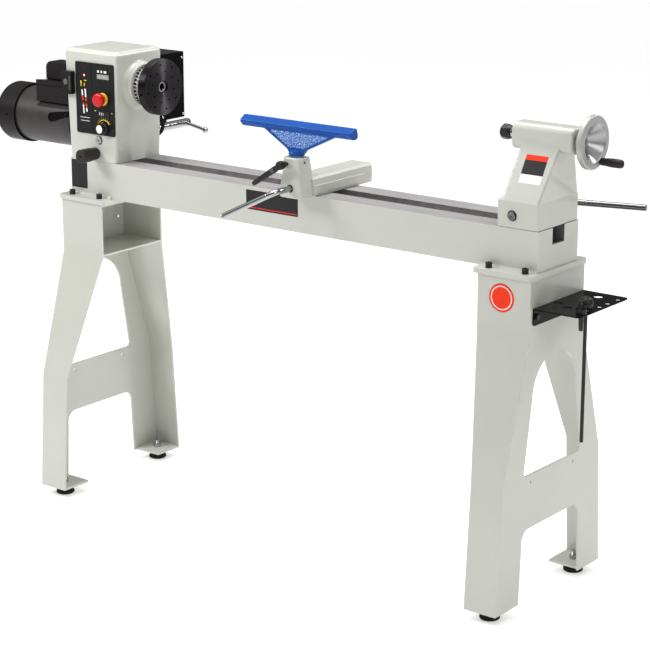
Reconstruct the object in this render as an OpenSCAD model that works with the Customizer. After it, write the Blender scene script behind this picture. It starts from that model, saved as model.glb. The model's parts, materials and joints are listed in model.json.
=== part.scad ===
// Floor-standing wood lathe: cast bed on two folded steel legs, headstock with motor, banjo with tool rest, tailstock.
// Millimetres, +X along the bed from headstock to tailstock, -Y towards the operator, +Z up, floor at Z = 0.

/* [Bed] */
// Length of the bed casting
bed_l = 1494; // [1480:1:1510]
// Width across the ways
bed_w = 175; // [174:1:176]
// Height of the bed body
bed_h = 99; // [97:1:101]
// Width of the slot between the ways
slot_w = 52; // [50:1:54]
// Thickness of the foot flanges
flange_t = 12; // [11:1:13]

/* [Stand] */
// Height of the bed top above the floor
bed_top = 928; // [920:1:936]
// Half depth of a leg at its top
leg_y1 = 118.9; // [118:0.1:120]
// Half depth of a leg where it bends
leg_y2 = 215.3; // [210:0.1:220]
// Half depth of a leg at its bottom
leg_y3 = 235.9; // [232:0.1:240]
// Sheet thickness of the legs
leg_t = 5; // [4:0.5:6]
// Radius of a levelling pad
pad_r = 25; // [22:1:28]

/* [Headstock] */
// Height of the spindle axis above the bed
centre_h = 205.5; // [205:0.1:206]
// Height of the headstock casting
head_h = 298; // [296:1:300]
// Height of the motor axis above the bed
motor_z = 88; // [87:0.5:89]
// Radius of the motor shell
motor_r = 76; // [74:0.5:77]
// Radius of the faceplate
faceplate_r = 75; // [72:1:78]

/* [Tool rest] */
// Length of the tool rest
rest_l = 350; // [330:1:360]
// Middle of the banjo along the bed
banjo_x = 808; // [780:1:840]

/* [Tailstock] */
// Length of the tailstock base
tail_l = 114; // [110:1:116]
// Radius of the handwheel
wheel_r = 63; // [61:1:66]
// Radius of the quill
quill_r = 13.5; // [13:0.5:14]

/* [Hidden] */
$fn = 64;
hw = bed_w / 2;
motor_end = -296;
grip_end = 1643;
cam_rear = 272;
lever_front = -279.476;
off_x = -(motor_end + grip_end) / 2;
off_y = -(cam_rear + lever_front) / 2;
off_z = bed_top;
leg_x0 = -7.3;
leg_x1 = bed_l + 2.6;
z_flange = -bed_h + 1.6;
z_leg = z_flange - flange_t;
z_foot = -902;
leg_w1 = 145.5;
leg_w2 = 89.5;
rack_y = 95;
rack_z = -197;
cam_h = [108, 58.5];
cam_b = [banjo_x, 24];
cam_t = [1421, 29.4];
post_y = -115;
grip_y = 25;
grip_z = -46.5;
spin_r = [48, 38, 28];
mot_r = [24, 34, 44];
tail_x0 = bed_l - tail_l + 1;
steel = [0.72, 0.73, 0.75];
black = [0.07, 0.07, 0.075];
enamel = [0.80, 0.81, 0.77];

// moves the bed frame (bed left end, bed middle, bed top) to the floor frame
module place() translate([off_x, off_y, off_z]) children();
// cylinder along X, Y or Z from a to b
module cx(x0, x1, y, z, r) translate([x0, y, z]) rotate([0, 90, 0]) cylinder(h = x1 - x0, r = r);
module cy(y0, y1, x, z, r) translate([x, y0, z]) rotate([-90, 0, 0]) cylinder(h = y1 - y0, r = r);
module cz(z0, z1, x, y, r) translate([x, y, z0]) cylinder(h = z1 - z0, r = r);
// box from corner to corner
module bx(x0, x1, y0, y1, z0, z1) translate([x0, y0, z0]) cube([x1 - x0, y1 - y0, z1 - z0]);
// profile of [radius, along] points turned about the X axis through (y, z), starting at x
module turn_x(x, y, z, pts) translate([x, y, z]) rotate([0, 90, 0]) rotate_extrude() polygon(pts);
module turn_y(x, y, z, pts) translate([x, y, z]) rotate([-90, 0, 0]) rotate_extrude() polygon(pts);
module turn_z(x, y, z, pts) translate([x, y, z]) rotate_extrude() polygon(pts);
// rounded rectangle in the plane
module rrect(x0, x1, y0, y1, r) {
  translate([x0 + r, y0]) square([x1 - x0 - 2 * r, y1 - y0]);
  translate([x0, y0 + r]) square([x1 - x0, y1 - y0 - 2 * r]);
  for (x = [x0 + r, x1 - r], y = [y0 + r, y1 - r]) translate([x, y]) circle(r);
}
// extrusion along X of a figure drawn in (y, z), and along Y of a figure drawn in (x, z)
module ex(x0, x1) translate([x0, 0, 0]) rotate([90, 0, 90]) linear_extrude(x1 - x0) children();
module ey(y0, y1) translate([0, y1, 0]) rotate([90, 0, 0]) linear_extrude(y1 - y0) children();
// bar of radius r along +Z for a length a, a bend of radius rb towards +X, then a straight end of length l
module bent_bar(a, rb, bend, l, r) {
  cylinder(h = a + 3, r = r);
  translate([rb, 0, a]) rotate([90, 0, 180]) rotate_extrude(angle = bend) translate([rb, 0]) circle(r + 0.4);
  translate([rb * (1 - cos(bend)), 0, a + rb * sin(bend)]) rotate([0, bend, 0]) turn_z(0, 0, -3, [[0, 0], [r, 0], [r, l + 1], [r - 2, l + 3], [0, l + 3]]);
}
// hexagon nut or head, flats along X
module hex_z(z0, z1, x, y, af, r) difference() {
  translate([x, y, z0]) rotate(30) cylinder(h = z1 - z0, r = af / 2 / cos(30), $fn = 6);
  if (r > 0) cz(z0 - 1, z1 + 1, x, y, r);
}

// ---------------------------------------------------------------- bed and stand
flange_x = [[-15.6, 154.6], [bed_l - 157.5, bed_l + 7.5]];
bolt_in = [25.5, 125.5];
bolt_y = 104;
bolts_at = [for (b = bolt_in, x = [leg_x0 + b, leg_x1 - b], s = [-1, 1]) [x, s * bolt_y]];
module bed() color(enamel) place() difference() {
  union() {
    difference() {
      bx(0, bed_l, -hw, hw, -bed_h, 0);
      // hollow underside
      bx(14, bed_l - 14, -hw + 12, hw - 12, -bed_h - 1, -20);
    }
    // ribs along the slot and across the bed
    for (s = [-1, 1]) bx(1, bed_l - 1, s > 0 ? slot_w / 2 : -slot_w / 2 - 12, s > 0 ? slot_w / 2 + 12 : -slot_w / 2, -60, -10);
    for (x = [380, 750, 1120]) bx(x - 6, x + 6, -hw + 1, hw - 1, -bed_h, -88);
    // foot flanges with a flare up to the bed sides
    for (f = flange_x) {
      translate([0, 0, z_leg]) linear_extrude(flange_t) rrect(f[0], f[1], -124.8, 124.8, 10);
      for (s = [-1, 1]) ex(max(f[0], 0), min(f[1] - 8, bed_l)) difference() {
        translate([s > 0 ? hw - 1 : -hw - 8, z_leg + flange_t - 1]) square([9, 9]);
        translate([s * (hw + 8), z_leg + flange_t + 8]) circle(8);
      }
    }
  }
  // slot between the ways, running out of both end walls
  bx(-20, bed_l + 20, -slot_w / 2, slot_w / 2, -40, 1);
  bx(10, bed_l - 10, -slot_w / 2, slot_w / 2, -70, 1);
  for (p = bolts_at) cz(z_leg - 1, z_leg + flange_t + 1, p[0], p[1], 5.5);
}

// outline of a leg seen along the bed, inset by t
function leg_outline(t) = [
  [leg_y1 - t, z_leg], [leg_y1 - t, -253.7], [leg_y2 - t, -586], [leg_y3 - t, z_foot],
  [-leg_y3 + t, z_foot], [-leg_y2 + t, -586], [-leg_y1 + t, -253.7], [-leg_y1 + t, z_leg]];
module leg_window() {
  translate([0, -398]) circle(98);
  polygon([[-98, -398], [98, -398], [127, -574], [119, -583], [-119, -583], [-127, -574]]);
}
module leg_gate() {
  rrect(-129, 129, -830, -718, 30);
  polygon([[-129, -760], [129, -760], [137, -910], [-137, -910]]);
}
// folded leg, web at x = 0, flanges towards +X
module leg() {
  difference() {
    ex(0, leg_t) polygon(leg_outline(0));
    ex(-1, leg_t + 1) leg_window();
    ex(-1, leg_t + 1) leg_gate();
    for (s = [-1, 1]) {
      cx(-1, leg_t + 1, s * 95, -602, 4);
      cx(-1, leg_t + 1, s * rack_y, rack_z, 4.2);
    }
  }
  // front and rear flanges, wide at the top and narrow below the bend
  intersection() {
    ex(0, leg_w1) difference() {
      polygon(leg_outline(0));
      polygon(concat([[leg_y1 - leg_t, z_leg + 1]], [for (p = leg_outline(leg_t)) p], [[-leg_y1 + leg_t, z_leg + 1]]));
      translate([-leg_y3 + leg_t + 1, z_foot - 1]) square([2 * (leg_y3 - leg_t - 1), 3]);
    }
    ey(-400, 400) polygon([[0, z_leg + 1], [leg_w1, z_leg + 1], [leg_w1, -253.7], [leg_w2, -586], [leg_w2, z_foot - 1], [0, z_foot - 1]]);
  }
  // top plate
  difference() {
    bx(0, leg_w1, -leg_y1, leg_y1, z_leg - 8, z_leg);
    bx(40, leg_w1 - 30, -60, 60, z_leg - 9, z_leg + 1);
    for (x = bolt_in, s = [-1, 1]) cz(z_leg - 9, z_leg + 1, x, s * bolt_y, 5.5);
  }
  // shelf plate under the top bay
  bx(leg_t - 0.5, leg_w1, -leg_y1 + 1, leg_y1 - 1, -253.7, -248.7);
  // foot plates
  for (s = [-1, 1]) difference() {
    bx(0, leg_w2, s > 0 ? leg_y3 - 92 : -leg_y3 + 1, s > 0 ? leg_y3 - 1 : -leg_y3 + 92, z_foot, z_foot + 6);
    cz(z_foot - 1, z_foot + 7, 45, s * 190, 6.5);
  }
}
module left_leg() color(enamel) place() translate([leg_x0, 0, 0]) leg();
module right_leg() color(enamel) place() translate([leg_x1, 0, 0]) mirror([1, 0, 0]) leg();
// socket-head screws through flange and leg, each with its nut below
module bed_bolts() color(black) place() for (p = bolts_at) { bed_bolt(p); hex_z(z_leg - 16, z_leg - 8, p[0], p[1], 16, 5.05); }
module bed_bolt(p) difference() {
  union() {
    turn_z(p[0], p[1], z_leg + flange_t, [[0, 0], [8, 0], [8, 12], [7.2, 13], [0, 13]]);
    cz(z_leg - 22, z_leg + flange_t, p[0], p[1], 5);
  }
  translate([p[0], p[1], z_leg + flange_t + 7]) cylinder(h = 7, r = 4.6, $fn = 6);
}
feet_at = [for (x = [leg_x0 + 45, leg_x1 - 45], s = [-1, 1]) [x, s * 190]];
module levelling_feet() color(black) place() for (p = feet_at)
  turn_z(p[0], p[1], -bed_top, [[0, 0], [pad_r - 2, 0], [pad_r, 2], [pad_r, 6], [pad_r - 4, 14], [6, 14], [6, 6], [0, 6]]);
module foot_studs() color(steel) place() for (p = feet_at)
  turn_z(p[0], p[1], -bed_top + 6, [[0, 0], [6, 0], [6, 46], [5, 47], [0, 47]]);
module foot_nuts() color(steel) place() for (p = feet_at) {
  hex_z(-bed_top + 14, z_foot, p[0], p[1], 19, 6);
  hex_z(z_foot + 6, z_foot + 15, p[0], p[1], 19, 6);
}

// ---------------------------------------------------------------- tool rack on the right leg
rack_big = [[1516, -31], [1556, -53], [1558, 83]];
rack_small = [[1607, -76], [1600, -44], [1607, 5], [1607, 42], [1608, 88]];
module tool_rack() color(black) place() difference() {
  union() {
    translate([0, 0, -179]) linear_extrude(3) {
      rrect(leg_x1 + 12, 1622, -108, 117, 12);
      translate([leg_x1, -108]) square([40, 225]);
    }
    ex(leg_x1, leg_x1 + 3) {
      rrect(-108, 117, -218, -177, 8);
      translate([-108, -190]) square([225, 13]);
    }
  }
  for (p = rack_big) cz(-180, -175, p[0], p[1], 12);
  for (p = rack_small) cz(-180, -175, p[0], p[1], 7.5);
  for (s = [-1, 1]) cx(leg_x1 - 1, leg_x1 + 4, s * rack_y, rack_z, 4.2);
}
module rack_bolts() color(black) place() for (s = [-1, 1]) {
  turn_x(leg_x1 + 3, s * rack_y, rack_z, [[0, 0], [7, 0], [7, 5], [6, 6], [0, 6]]);
  cx(leg_x1 - 14, leg_x1 + 3, s * rack_y, rack_z, 4);
  difference() {
    translate([leg_x1 - leg_t - 7, s * rack_y, rack_z]) rotate([0, 90, 0]) cylinder(h = 7, r = 7.5, $fn = 6);
    cx(leg_x1 - leg_t - 8, leg_x1 - leg_t + 1, s * rack_y, rack_z, 3.9);
  }
}
module knockout_bar() color(black) place() {
  translate([1600, -44, -159.5]) sphere(17.5);
  cz(-495, -170, 1600, -44, 4.5);
}
module drive_centre() color([0.3, 0.3, 0.31]) place() translate([1607, -76, -216]) {
  turn_z(0, 0, 0, [[0, 0], [5, 0], [6.4, 36], [6.4, 40.3], [13, 40.3], [13, 52], [4, 52], [4, 61], [0, 68]]);
  // four spurs round the point
  for (a = [0:90:270]) rotate(a + 20) translate([5.5, -1.5, 51]) cube([6.5, 3, 9]);
}

// ---------------------------------------------------------------- headstock
// layers of the casting: bottom, shoulder and the rounded top
module head_layer(z, i) {
  x0 = -12 * min(z, 270) / 270;
  x1 = 169 + 11 * min(z, 270) / 270;
  for (x = [x0 + i + 8, x1 - i - 8], y = [-hw + i + 8, hw - i - 8]) translate([x, y, z]) cylinder(h = 0.5, r = 8, $fn = 32);
}
module headstock() color(enamel) place() difference() {
  union() {
    hull() {
      head_layer(0, 0);
      for (a = [0:22.5:90]) head_layer(head_h - 13.5 + 13 * sin(a), 13 * (1 - cos(a)));
    }
    // spindle boss with a flared root
    turn_x(165, 0, centre_h, [[0, 0], [66, 0], [66, 12], [61, 15], [58, 20], [57, 27], [57, 32], [54, 35], [0, 35]]);
  }
  // hollow for the drive, open to the left, with a lug for each cover screw
  difference() {
    bx(-30, 154, -72, 72, 22, 275);
    for (s = [-1, 1], z = [32, 265]) bx(14, 36, s > 0 ? 52 : -73, s > 0 ? 73 : -52, z > 100 ? 255 : 21, z > 100 ? 276 : 42);
  }
  for (s = [-1, 1], z = [32, 265]) cx(13, 31, s * 62, z, 3.1);
  // opening over the bed slot for the clamp
  bx(84, 132, -30, 30, -1, 30);
  // front bearing seat and shaft clearance
  cx(174, 201, 0, centre_h, 31);
  cx(150, 175, 0, centre_h, 24);
  // clamp shaft, grip stud, stop-button stem, rocker, panel screws and cable
  cy(-hw - 1, hw + 1, cam_h[0], cam_h[1], 12.06);
  cy(-hw - 1, -hw + 13, 96, 21, 8.06);
  cy(-hw - 1, -hw + 10, 130, 171, 9);
  bx(109, 153, -hw - 1, -hw + 4, 121, 141);
  for (x = [61.6, 162], z = [250.5, 90]) cy(-hw - 1, -hw + 8, x, z, 1.5);
  cy(70, hw + 1, 146, 50, 7);
}
module end_cover() color(enamel) place() difference() {
  union() {
    bx(2, 14, -72, 72, 22, 275);
    cx(13, 34, 0, centre_h, 40);
  }
  cx(16, 35, 0, centre_h, 31);
  cx(0, 20, 0, centre_h, 22);
  cx(0, 20, 0, motor_z, 30);
  for (a = [45:90:315]) cx(0, 20, 45 * cos(a), motor_z + 45 * sin(a), 4.3);
  for (s = [-1, 1], z = [32, 265]) cx(0, 20, s * 62, z, 3.2);
}
// corner screws of the electronics box, Y and Z
box_screws = [[99, 101], [182, 101], [99, 256], [180, 256]];
// screws of the end cover, the control panel and the electronics box
module cover_screws() color(steel) place() {
  for (s = [-1, 1], z = [32, 265]) {
    turn_x(-2, s * 62, z, [[0, 0], [5, 0.8], [5, 4], [0, 4]]);
    cx(1, 30, s * 62, z, 3.1);
  }
  for (x = [61.6, 162], z = [250.5, 90]) {
    turn_y(x, -hw - 4.2, z, [[0, 0], [2.2, 0], [3, 1.2], [0, 1.2]]);
    cy(-hw - 3.5, -hw + 8, x, z, 1.5);
  }
  for (q = box_screws) let(y = q[0], z = q[1]) {
    turn_x(170, y, z, [[0, 0], [4, 0], [3, 2], [0, 2.4]]);
    cx(156, 170, y, z, 2);
  }
}
// ball bearing from x to x + w: outer ring, cage with balls as one band, inner ring
module ball_bearing(x, w, z, ro, ri) difference() {
  cx(x, x + w, 0, z, ro);
  cx(x - 1, x + w + 1, 0, z, ri);
  for (e = [x - 1, x + w - 1]) difference() { cx(e, e + 2, 0, z, ro - 0.3 * (ro - ri)); cx(e - 1, e + 3, 0, z, ri + 0.3 * (ro - ri)); }
}
module ball_bearings() color(steel) place() {
  for (x = [16, 174]) ball_bearing(x, 16, centre_h, 31, 15.05);
  ball_bearing(-223, 12, motor_z, 21, 9.55);
  ball_bearing(-20, 12, motor_z, 21, 9.55);
}
module headstock_clamp() color([0.35, 0.35, 0.36]) place() {
  clamp_set(cam_h[0], cam_h[1], 12.7);
}
// clamp plate under the ways, its bolt and the eye round a cam shaft of radius r
module clamp_set(x, z, r) {
  difference() {
    union() {
      bx(x - 34, x + 34, -37, 37, -76, -60.6);
      bx(x - 30, x + 30, -25.6, 25.6, -61, -30);
    }
    cz(-80, -20, x, 0, 8.3);
  }
  difference() {
    union() {
      cz(-85, z, x, 0, 8);
      cy(-10, 10, x, z, r + 7);
      hex_z(-84, -76.2, x, 0, 24, 0);
    }
    cy(-20, 20, x, z, r);
  }
}
module control_panel() color(black) place() difference() {
  panel_plate();
  // seats of the rocker's pivot pins
  cz(121.2, 140.8, 131, -hw - 1.5, 1);
}
module panel_plate() ey(-hw - 3, -hw) difference() {
  rrect(30, 169.5, 73, 264.5, 5);
  for (x = [61.6, 162], z = [250.5, 90]) translate([x, z]) circle(1.5);
  translate([130, 171]) circle(11.06);
  translate([130, 92.7]) circle(5);
  translate([110, 122]) square([42, 18]);
  translate([109, 224]) square([43, 12]);
}
module speed_display() color([0.25, 0.27, 0.27]) place() bx(109, 152, -hw - 2.2, -hw, 224, 236);
module estop_collar() color([0.95, 0.78, 0.1]) place() difference() {
  union() {
    turn_y(130, -hw - 9, 171, [[0, 0], [16, 0], [17, 1.5], [17, 6], [0, 6]]);
    cy(-hw - 3.5, -hw + 0.0, 130, 171, 11);
  }
  cy(-hw - 17, -hw + 1, 130, 171, 7.06);
}
module latch_housing() color(black) place() difference() {
  ey(-102.5, -hw) rrect(-12, 24.5, 174.5, 236.5, 3);
  cy(-104, -hw - 2.5, 5.5, 208, 8.06);
}
// electronics box on the rear of the headstock, with its cover on the +X side
module control_box() color(black) place() difference() {
  bx(18, 168, hw, 187, 92, 272);
  difference() {
    bx(20.5, 169, hw + 2.5, 184.5, 94.5, 269.5);
    // screw posts in the corners
    for (q = box_screws) bx(148, 168, q[0] < 140 ? hw + 2 : q[0] - 6, q[0] < 140 ? q[0] + 6 : 185, q[1] - 6, q[1] + 6);
  }
  for (q = box_screws) cx(155, 170, q[0], q[1], 2);
  cz(90, 96, 146, 125.5, 6.5);
  cy(180, 190, 60, 120, 8.2);
}
module box_cover() color([0.10, 0.08, 0.08]) place() difference() {
  bx(168, 170, hw, 187, 92, 272);
  for (q = box_screws) cx(160, 175, q[0], q[1], 2);
}
module cable_glands() color(black) place() {
  // into the headstock, into the box, and the mains inlet
  difference() { union() { cy(hw, 97.5, 146, 50, 10); cy(hw - 10, hw, 146, 50, 6.9); } cy(70, 99, 146, 50, 5); }
  difference() { union() { cz(80, 92, 146, 125.5, 10); cz(92, 100, 146, 125.5, 6.4); } cz(79, 101, 146, 125.5, 5); }
  difference() { union() { cy(187, 203, 60, 120, 11); cy(178, 187, 60, 120, 8.1); } cy(170, 204, 60, 120, 5); }
}
module control_cable() color(black) place() {
  translate([146, 97.5, 78]) rotate([0, 90, 0]) rotate_extrude(angle = 90) translate([28, 0]) circle(4.9);
  cy(80, 97.5, 146, 50, 4.9);
  cz(78, 99, 146, 125.5, 4.9);
}
// loop of a flat belt round the two pulleys, seen along X, grown by g
belt_a = asin((spin_r[0] - mot_r[0]) / (centre_h - motor_z));
function belt_loop(g) = concat(
  [for (i = [0:48]) let(a = -belt_a + i * (180 + 2 * belt_a) / 48) [(spin_r[0] + g) * cos(a), centre_h + (spin_r[0] + g) * sin(a)]],
  [for (i = [0:32]) let(a = 180 + belt_a + i * (180 - 2 * belt_a) / 32) [(mot_r[0] + g) * cos(a), motor_z + (mot_r[0] + g) * sin(a)]]);
module drive_belt() color([0.05, 0.05, 0.05]) place() ex(42, 53) difference() { polygon(belt_loop(3.6)); polygon(belt_loop(0.5)); }

// ---------------------------------------------------------------- motor
module motor_shell() color([0.12, 0.12, 0.125]) place() difference() {
  cx(-230, -36, 0, motor_z, motor_r);
  cx(-211, -35, 0, motor_z, motor_r - 6);
  // rear bearing seat and shaft hole
  cx(-223, -210, 0, motor_z, 21);
  cx(-231, -220, 0, motor_z, 11);
  motor_pocket();
}
// tapered pocket in the side, running out over the flange
module motor_pocket() translate([0, 0, motor_z]) rotate([-15, 0, 0]) ey(-motor_r - 1, -motor_r + 4.5) hull() {
  translate([-83, -8.9]) circle(13);
  translate([-10, 8]) circle(7);
}
module motor_flange() color([0.12, 0.12, 0.125]) place() difference() {
  turn_x(-36, 0, motor_z, [[0, 0], [motor_r, 0], [motor_r, 18], [motor_r - 4, 22], [58, 22], [58, 38], [0, 38]]);
  cx(-40, 20, 0, motor_z, 14);
  cx(-21, -8, 0, motor_z, 21);
  cx(-37, -20, 0, motor_z, 60);
  motor_pocket();
  for (a = [45:90:315]) cx(-40, 20, 45 * cos(a), motor_z + 45 * sin(a), 4.3);
}
module motor_bolts() color(black) place() for (a = [45:90:315]) {
  cx(-20, 13, 45 * cos(a), motor_z + 45 * sin(a), 4.2);
  turn_x(14, 45 * cos(a), motor_z + 45 * sin(a), [[0, -1], [4.2, -1], [4.2, 0], [7, 0], [7, 5], [6, 6], [0, 6]]);
}
module stator() color([0.45, 0.30, 0.16]) place() difference() {
  cx(-175, -75, 0, motor_z, motor_r - 6);
  cx(-176, -74, 0, motor_z, 40);
}
module fan_cover() color([0.09, 0.09, 0.095]) place() difference() {
  turn_x(motor_end, 0, motor_z, [[0, 0], [72, 0], [79, 3], [82, 10], [82, 73], [80.8, 73], [80.8, 70], [motor_r, 69.5], [motor_r, 66], [79.5, 66], [79.5, 11], [70, 4], [0, 4]]);
  for (r = [16:13:55], i = [0:7]) rotate_slot(r, i);
}
// vent slots in the end of the fan cover
module rotate_slot(r, i) translate([motor_end - 1, 0, motor_z]) rotate([i * 45 + r, 0, 0]) translate([0, r, -5 - r / 12]) cube([8, 6, 10 + r / 6]);
module terminal_box() color(black) place() difference() {
  translate([0, 0, 138]) linear_extrude(58) polygon([[-146.5, -65], [-145.5, -68], [-14, -68], [-14, -2], [-124.5, -2], [-124.5, -49]]);
  cx(-160, 0, 0, motor_z, motor_r);
  bx(-121, -17, -64, -6, 142, 192);
}
module capacitor_cover() color(black) place() difference() {
  ey(-48, -2) {
    rrect(-126.5, -18, 196, 247, 20);
    translate([-126.5, 196]) square([108.5, 26]);
  }
  bx(-123.5, -21, -45, -5, 195, 228);
}
module rotor() color(steel) place() {
  cx(-172, -78, 0, motor_z, 39.4);
  cx(-270, 86, 0, motor_z, 9.5);
}
module motor_pulley() color([0.6, 0.61, 0.62]) place() difference() {
  union() for (i = [0:2]) step_pulley(40 + 15 * i, mot_r[i], motor_z);
  cx(39, 100, 0, motor_z, 9.5);
}
// one step of a pulley with low rims
module step_pulley(x, r, z) turn_x(x, 0, z, [[0, 0], [r + 2, 0], [r + 2, 1.2], [r, 1.7], [r, 13.3], [r + 2, 13.8], [r + 2, 15], [0, 15]]);
module cooling_fan() color([0.25, 0.25, 0.26]) place() difference() {
  union() {
    cx(-262, -240, 0, motor_z, 16);
    cx(-243, -240, 0, motor_z, 62);
    for (i = [0:7]) translate([-260, 0, motor_z]) rotate([i * 45, 0, 0]) translate([0, 12, -1.5]) cube([18, 48, 3]);
  }
  cx(-280, -200, 0, motor_z, 9.5);
}

// ---------------------------------------------------------------- spindle
module spindle() color(steel) place() difference() {
  union() {
    turn_x(-14, 0, centre_h, [[0, 0], [14, 0], [15, 1], [15, 212], [24, 212], [24, 222], [16.5, 222], [16.5, 271], [14.5, 274], [0, 274]]);
  }
  cx(-30, 300, 0, centre_h, 5);
  cx(205, 270, 0, centre_h, 9);
}
module spindle_pulley() color([0.6, 0.61, 0.62]) place() difference() {
  union() for (i = [0:2]) step_pulley(40 + 15 * i, spin_r[i], centre_h);
  cx(39, 100, 0, centre_h, 15);
}
module index_ring() color([0.55, 0.55, 0.56]) place() difference() {
  turn_x(208, 0, centre_h, [[0, 0], [55.5, 0], [57.5, 2], [57.5, 12], [55.5, 14], [0, 14]]);
  cx(200, 240, 0, centre_h, 16.5);
  for (i = [0:35]) translate([206, 0, centre_h]) rotate([i * 10 + 4, 0, 0]) translate([0, 52.5, -2]) cube([18, 10, 4]);
}
module faceplate() color(black) place() difference() {
  turn_x(222, 0, centre_h, [[0, 0], [28, 0], [28, 19], [faceplate_r - 1, 19], [faceplate_r, 20], [faceplate_r, 42], [faceplate_r - 1, 43], [0, 43]]);
  cx(220, 270, 0, centre_h, 16.5);
  for (i = [0:7]) cx(220, 270, 60 * cos(i * 45 + 10), centre_h + 60 * sin(i * 45 + 10), 3);
  for (i = [0:7]) cx(220, 270, 42 * cos(i * 45 + 32), centre_h + 42 * sin(i * 45 + 32), 2.5);
  // tommy-bar hole in the rim
  translate([253, 0, centre_h]) rotate([100, 0, 0]) cylinder(h = 90, r = 4);
}

// ---------------------------------------------------------------- controls
module estop_button() color([0.85, 0.05, 0.05]) place() {
  turn_y(130, -hw - 29, 171, [[0, 0], [13, 0.6], [16.8, 2], [18.3, 5], [18.3, 12.5], [16.8, 15], [11, 15.5], [0, 15.5]]);
  cy(-hw - 20, -hw - 1.5, 130, 171, 7);
}
module speed_knob() color(black) place() {
  turn_y(130, -hw - 21.5, 92.7, [[0, 0], [11.7, 0], [12.6, 0.8], [13.4, 9], [16, 14], [16, 18], [0, 18]]);
  cy(-hw - 8, -hw - 0.4, 130, 92.7, 4.9);
}
// rocker on two pivot pins
module direction_switch() color([0.10, 0.10, 0.11]) place() {
  cz(121.4, 140.6, 131, -hw - 1.5, 0.9);
  translate([131, -hw - 0.4, 122.4]) linear_extrude(17.2) polygon([[-20.4, -2.4], [-20.4, -5], [0, -6.2], [20.4, -5], [20.4, -2.4], [14, -0.2], [-14, -0.2]]);
}
module latch_button() color([0.35, 0.35, 0.36]) place()
  turn_y(5.5, -106, 208, [[0, 0], [7, 0], [8, 1], [8, 12.5], [0, 12.5]]);
module push_grip() color(black) place() difference() {
  union() {
    turn_y(96, -149, 21, [[0, 0], [17, 0], [18.5, 1.5], [18.5, 30], [16.5, 58], [15.5, 61], [0, 61]]);
    cy(-92, -hw + 12.5, 96, 21, 8);
  }
  cy(-150, -146, 96, 21, 3);
}
module headstock_lever() color(steel) place() {
  cy(-hw + 3.5, cam_rear - 4, cam_h[0], cam_h[1], 12);
  cy(-hw - 4, -hw + 4, cam_h[0], cam_h[1], 10.5);
  turn_y(cam_h[0], cam_rear - 4, cam_h[1], [[0, 0], [12, 0], [11, 4], [0, 4]]);
  translate([cam_h[0], 258, cam_h[1]]) rotate([0, 100, 0]) {
    cylinder(h = 72, r = 5.2);
    translate([0, 0, 76]) sphere(8.5);
  }
}

// ---------------------------------------------------------------- banjo and tool rest
module banjo_clamp_plate() color([0.35, 0.35, 0.36]) place() difference() {
  union() {
    bx(banjo_x - 34, banjo_x + 34, -37, 37, -76, -60.6);
    bx(banjo_x - 30, banjo_x + 30, -25.6, 25.6, -61, -30);
  }
  cz(-80, -20, banjo_x, 0, 8.06);
}
module banjo_clamp_bolt() color(steel) place() difference() {
  union() {
    cz(-85.5, 12, banjo_x, 0, 8);
    cy(-10, 10, cam_b[0], cam_b[1], 17.5);
    hex_z(-84.4, -76.4, banjo_x, 0, 24, 0);
  }
  cy(-20, 20, cam_b[0], cam_b[1], 10.6);
}
// banjo casting: arm across the bed and a tapered post in front of it
module banjo() color(enamel) place() difference() {
  union() {
    ey(-100, 145) polygon([[banjo_x - 37, 0], [banjo_x + 38, 0], [banjo_x + 39, 24], [banjo_x + 37.5, 44], [banjo_x + 32, 50],
      [banjo_x - 25, 50], [banjo_x - 35, 40], [banjo_x - 39, 24]]);
    // low raised panels on both sides of the arm
    bx(banjo_x - 41, banjo_x + 41, -95, 112, 6, 28.5);
    hull() {
      for (x = [-25, 25], y = [-131, -96]) translate([banjo_x + x + 0, y, 0]) cylinder(h = 14, r = 12, $fn = 32);
      for (x = [-15, 15], y = [-125, -105]) translate([banjo_x + x, y, 86]) cylinder(h = 14, r = 14, $fn = 32);
    }
  }
  // channel for the clamp eye
  bx(cam_b[0] - 18.5, cam_b[0] + 18.5, -76, 100, -1, 42.5);
  // cam shaft, tool post and lock stud
  cy(-150, 120, cam_b[0], cam_b[1], 10.06);
  cz(36, 101, banjo_x, post_y, 12.76);
  cy(-150, post_y, banjo_x - 12, 84, 5.06);
  cx(banjo_x, banjo_x + 60, -121, 89, 3.8);
}
// cam shaft across the arm and its bent handle, hanging to the left and down
module banjo_lever() color(steel) place() {
  cy(-136, 118, cam_b[0], cam_b[1], 10);
  translate([cam_b[0], -135, cam_b[1]]) rotate([90, 0, 0]) rotate([0, 0, 210]) bent_bar(49, 30, 60, 128, 7.5);
}
module tool_post() color(steel) place() turn_z(banjo_x, post_y, 38, [[0, 0], [12.2, 0], [12.7, 0.5], [12.7, 79], [0, 79]]);
module tool_rest() color([0.10, 0.30, 0.72]) place() difference() {
  union() {
    // bar with a sloping face towards the operator
    ex(banjo_x - rest_l / 2, banjo_x + rest_l / 2) polygon([[-105, 187], [-108, 187], [-124, 176], [-125, 172], [-122, 168],
      [-116, 160], [-104, 158], [-96, 160], [-94, 168], [-99, 186]]);
    // web down to the neck
    ey(post_y - 7, post_y + 10) polygon([[banjo_x - 101, 161], [banjo_x + 124, 161], [banjo_x + 28, 119], [banjo_x + 18, 108],
      [banjo_x - 18, 108], [banjo_x - 24, 119]]);
    turn_z(banjo_x, post_y, 103, [[0, 0], [19, 0], [20, 1], [20, 9], [17.5, 15], [12, 20], [0, 20]]);
  }
  cz(102, 117, banjo_x, post_y, 12.76);
}
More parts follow.
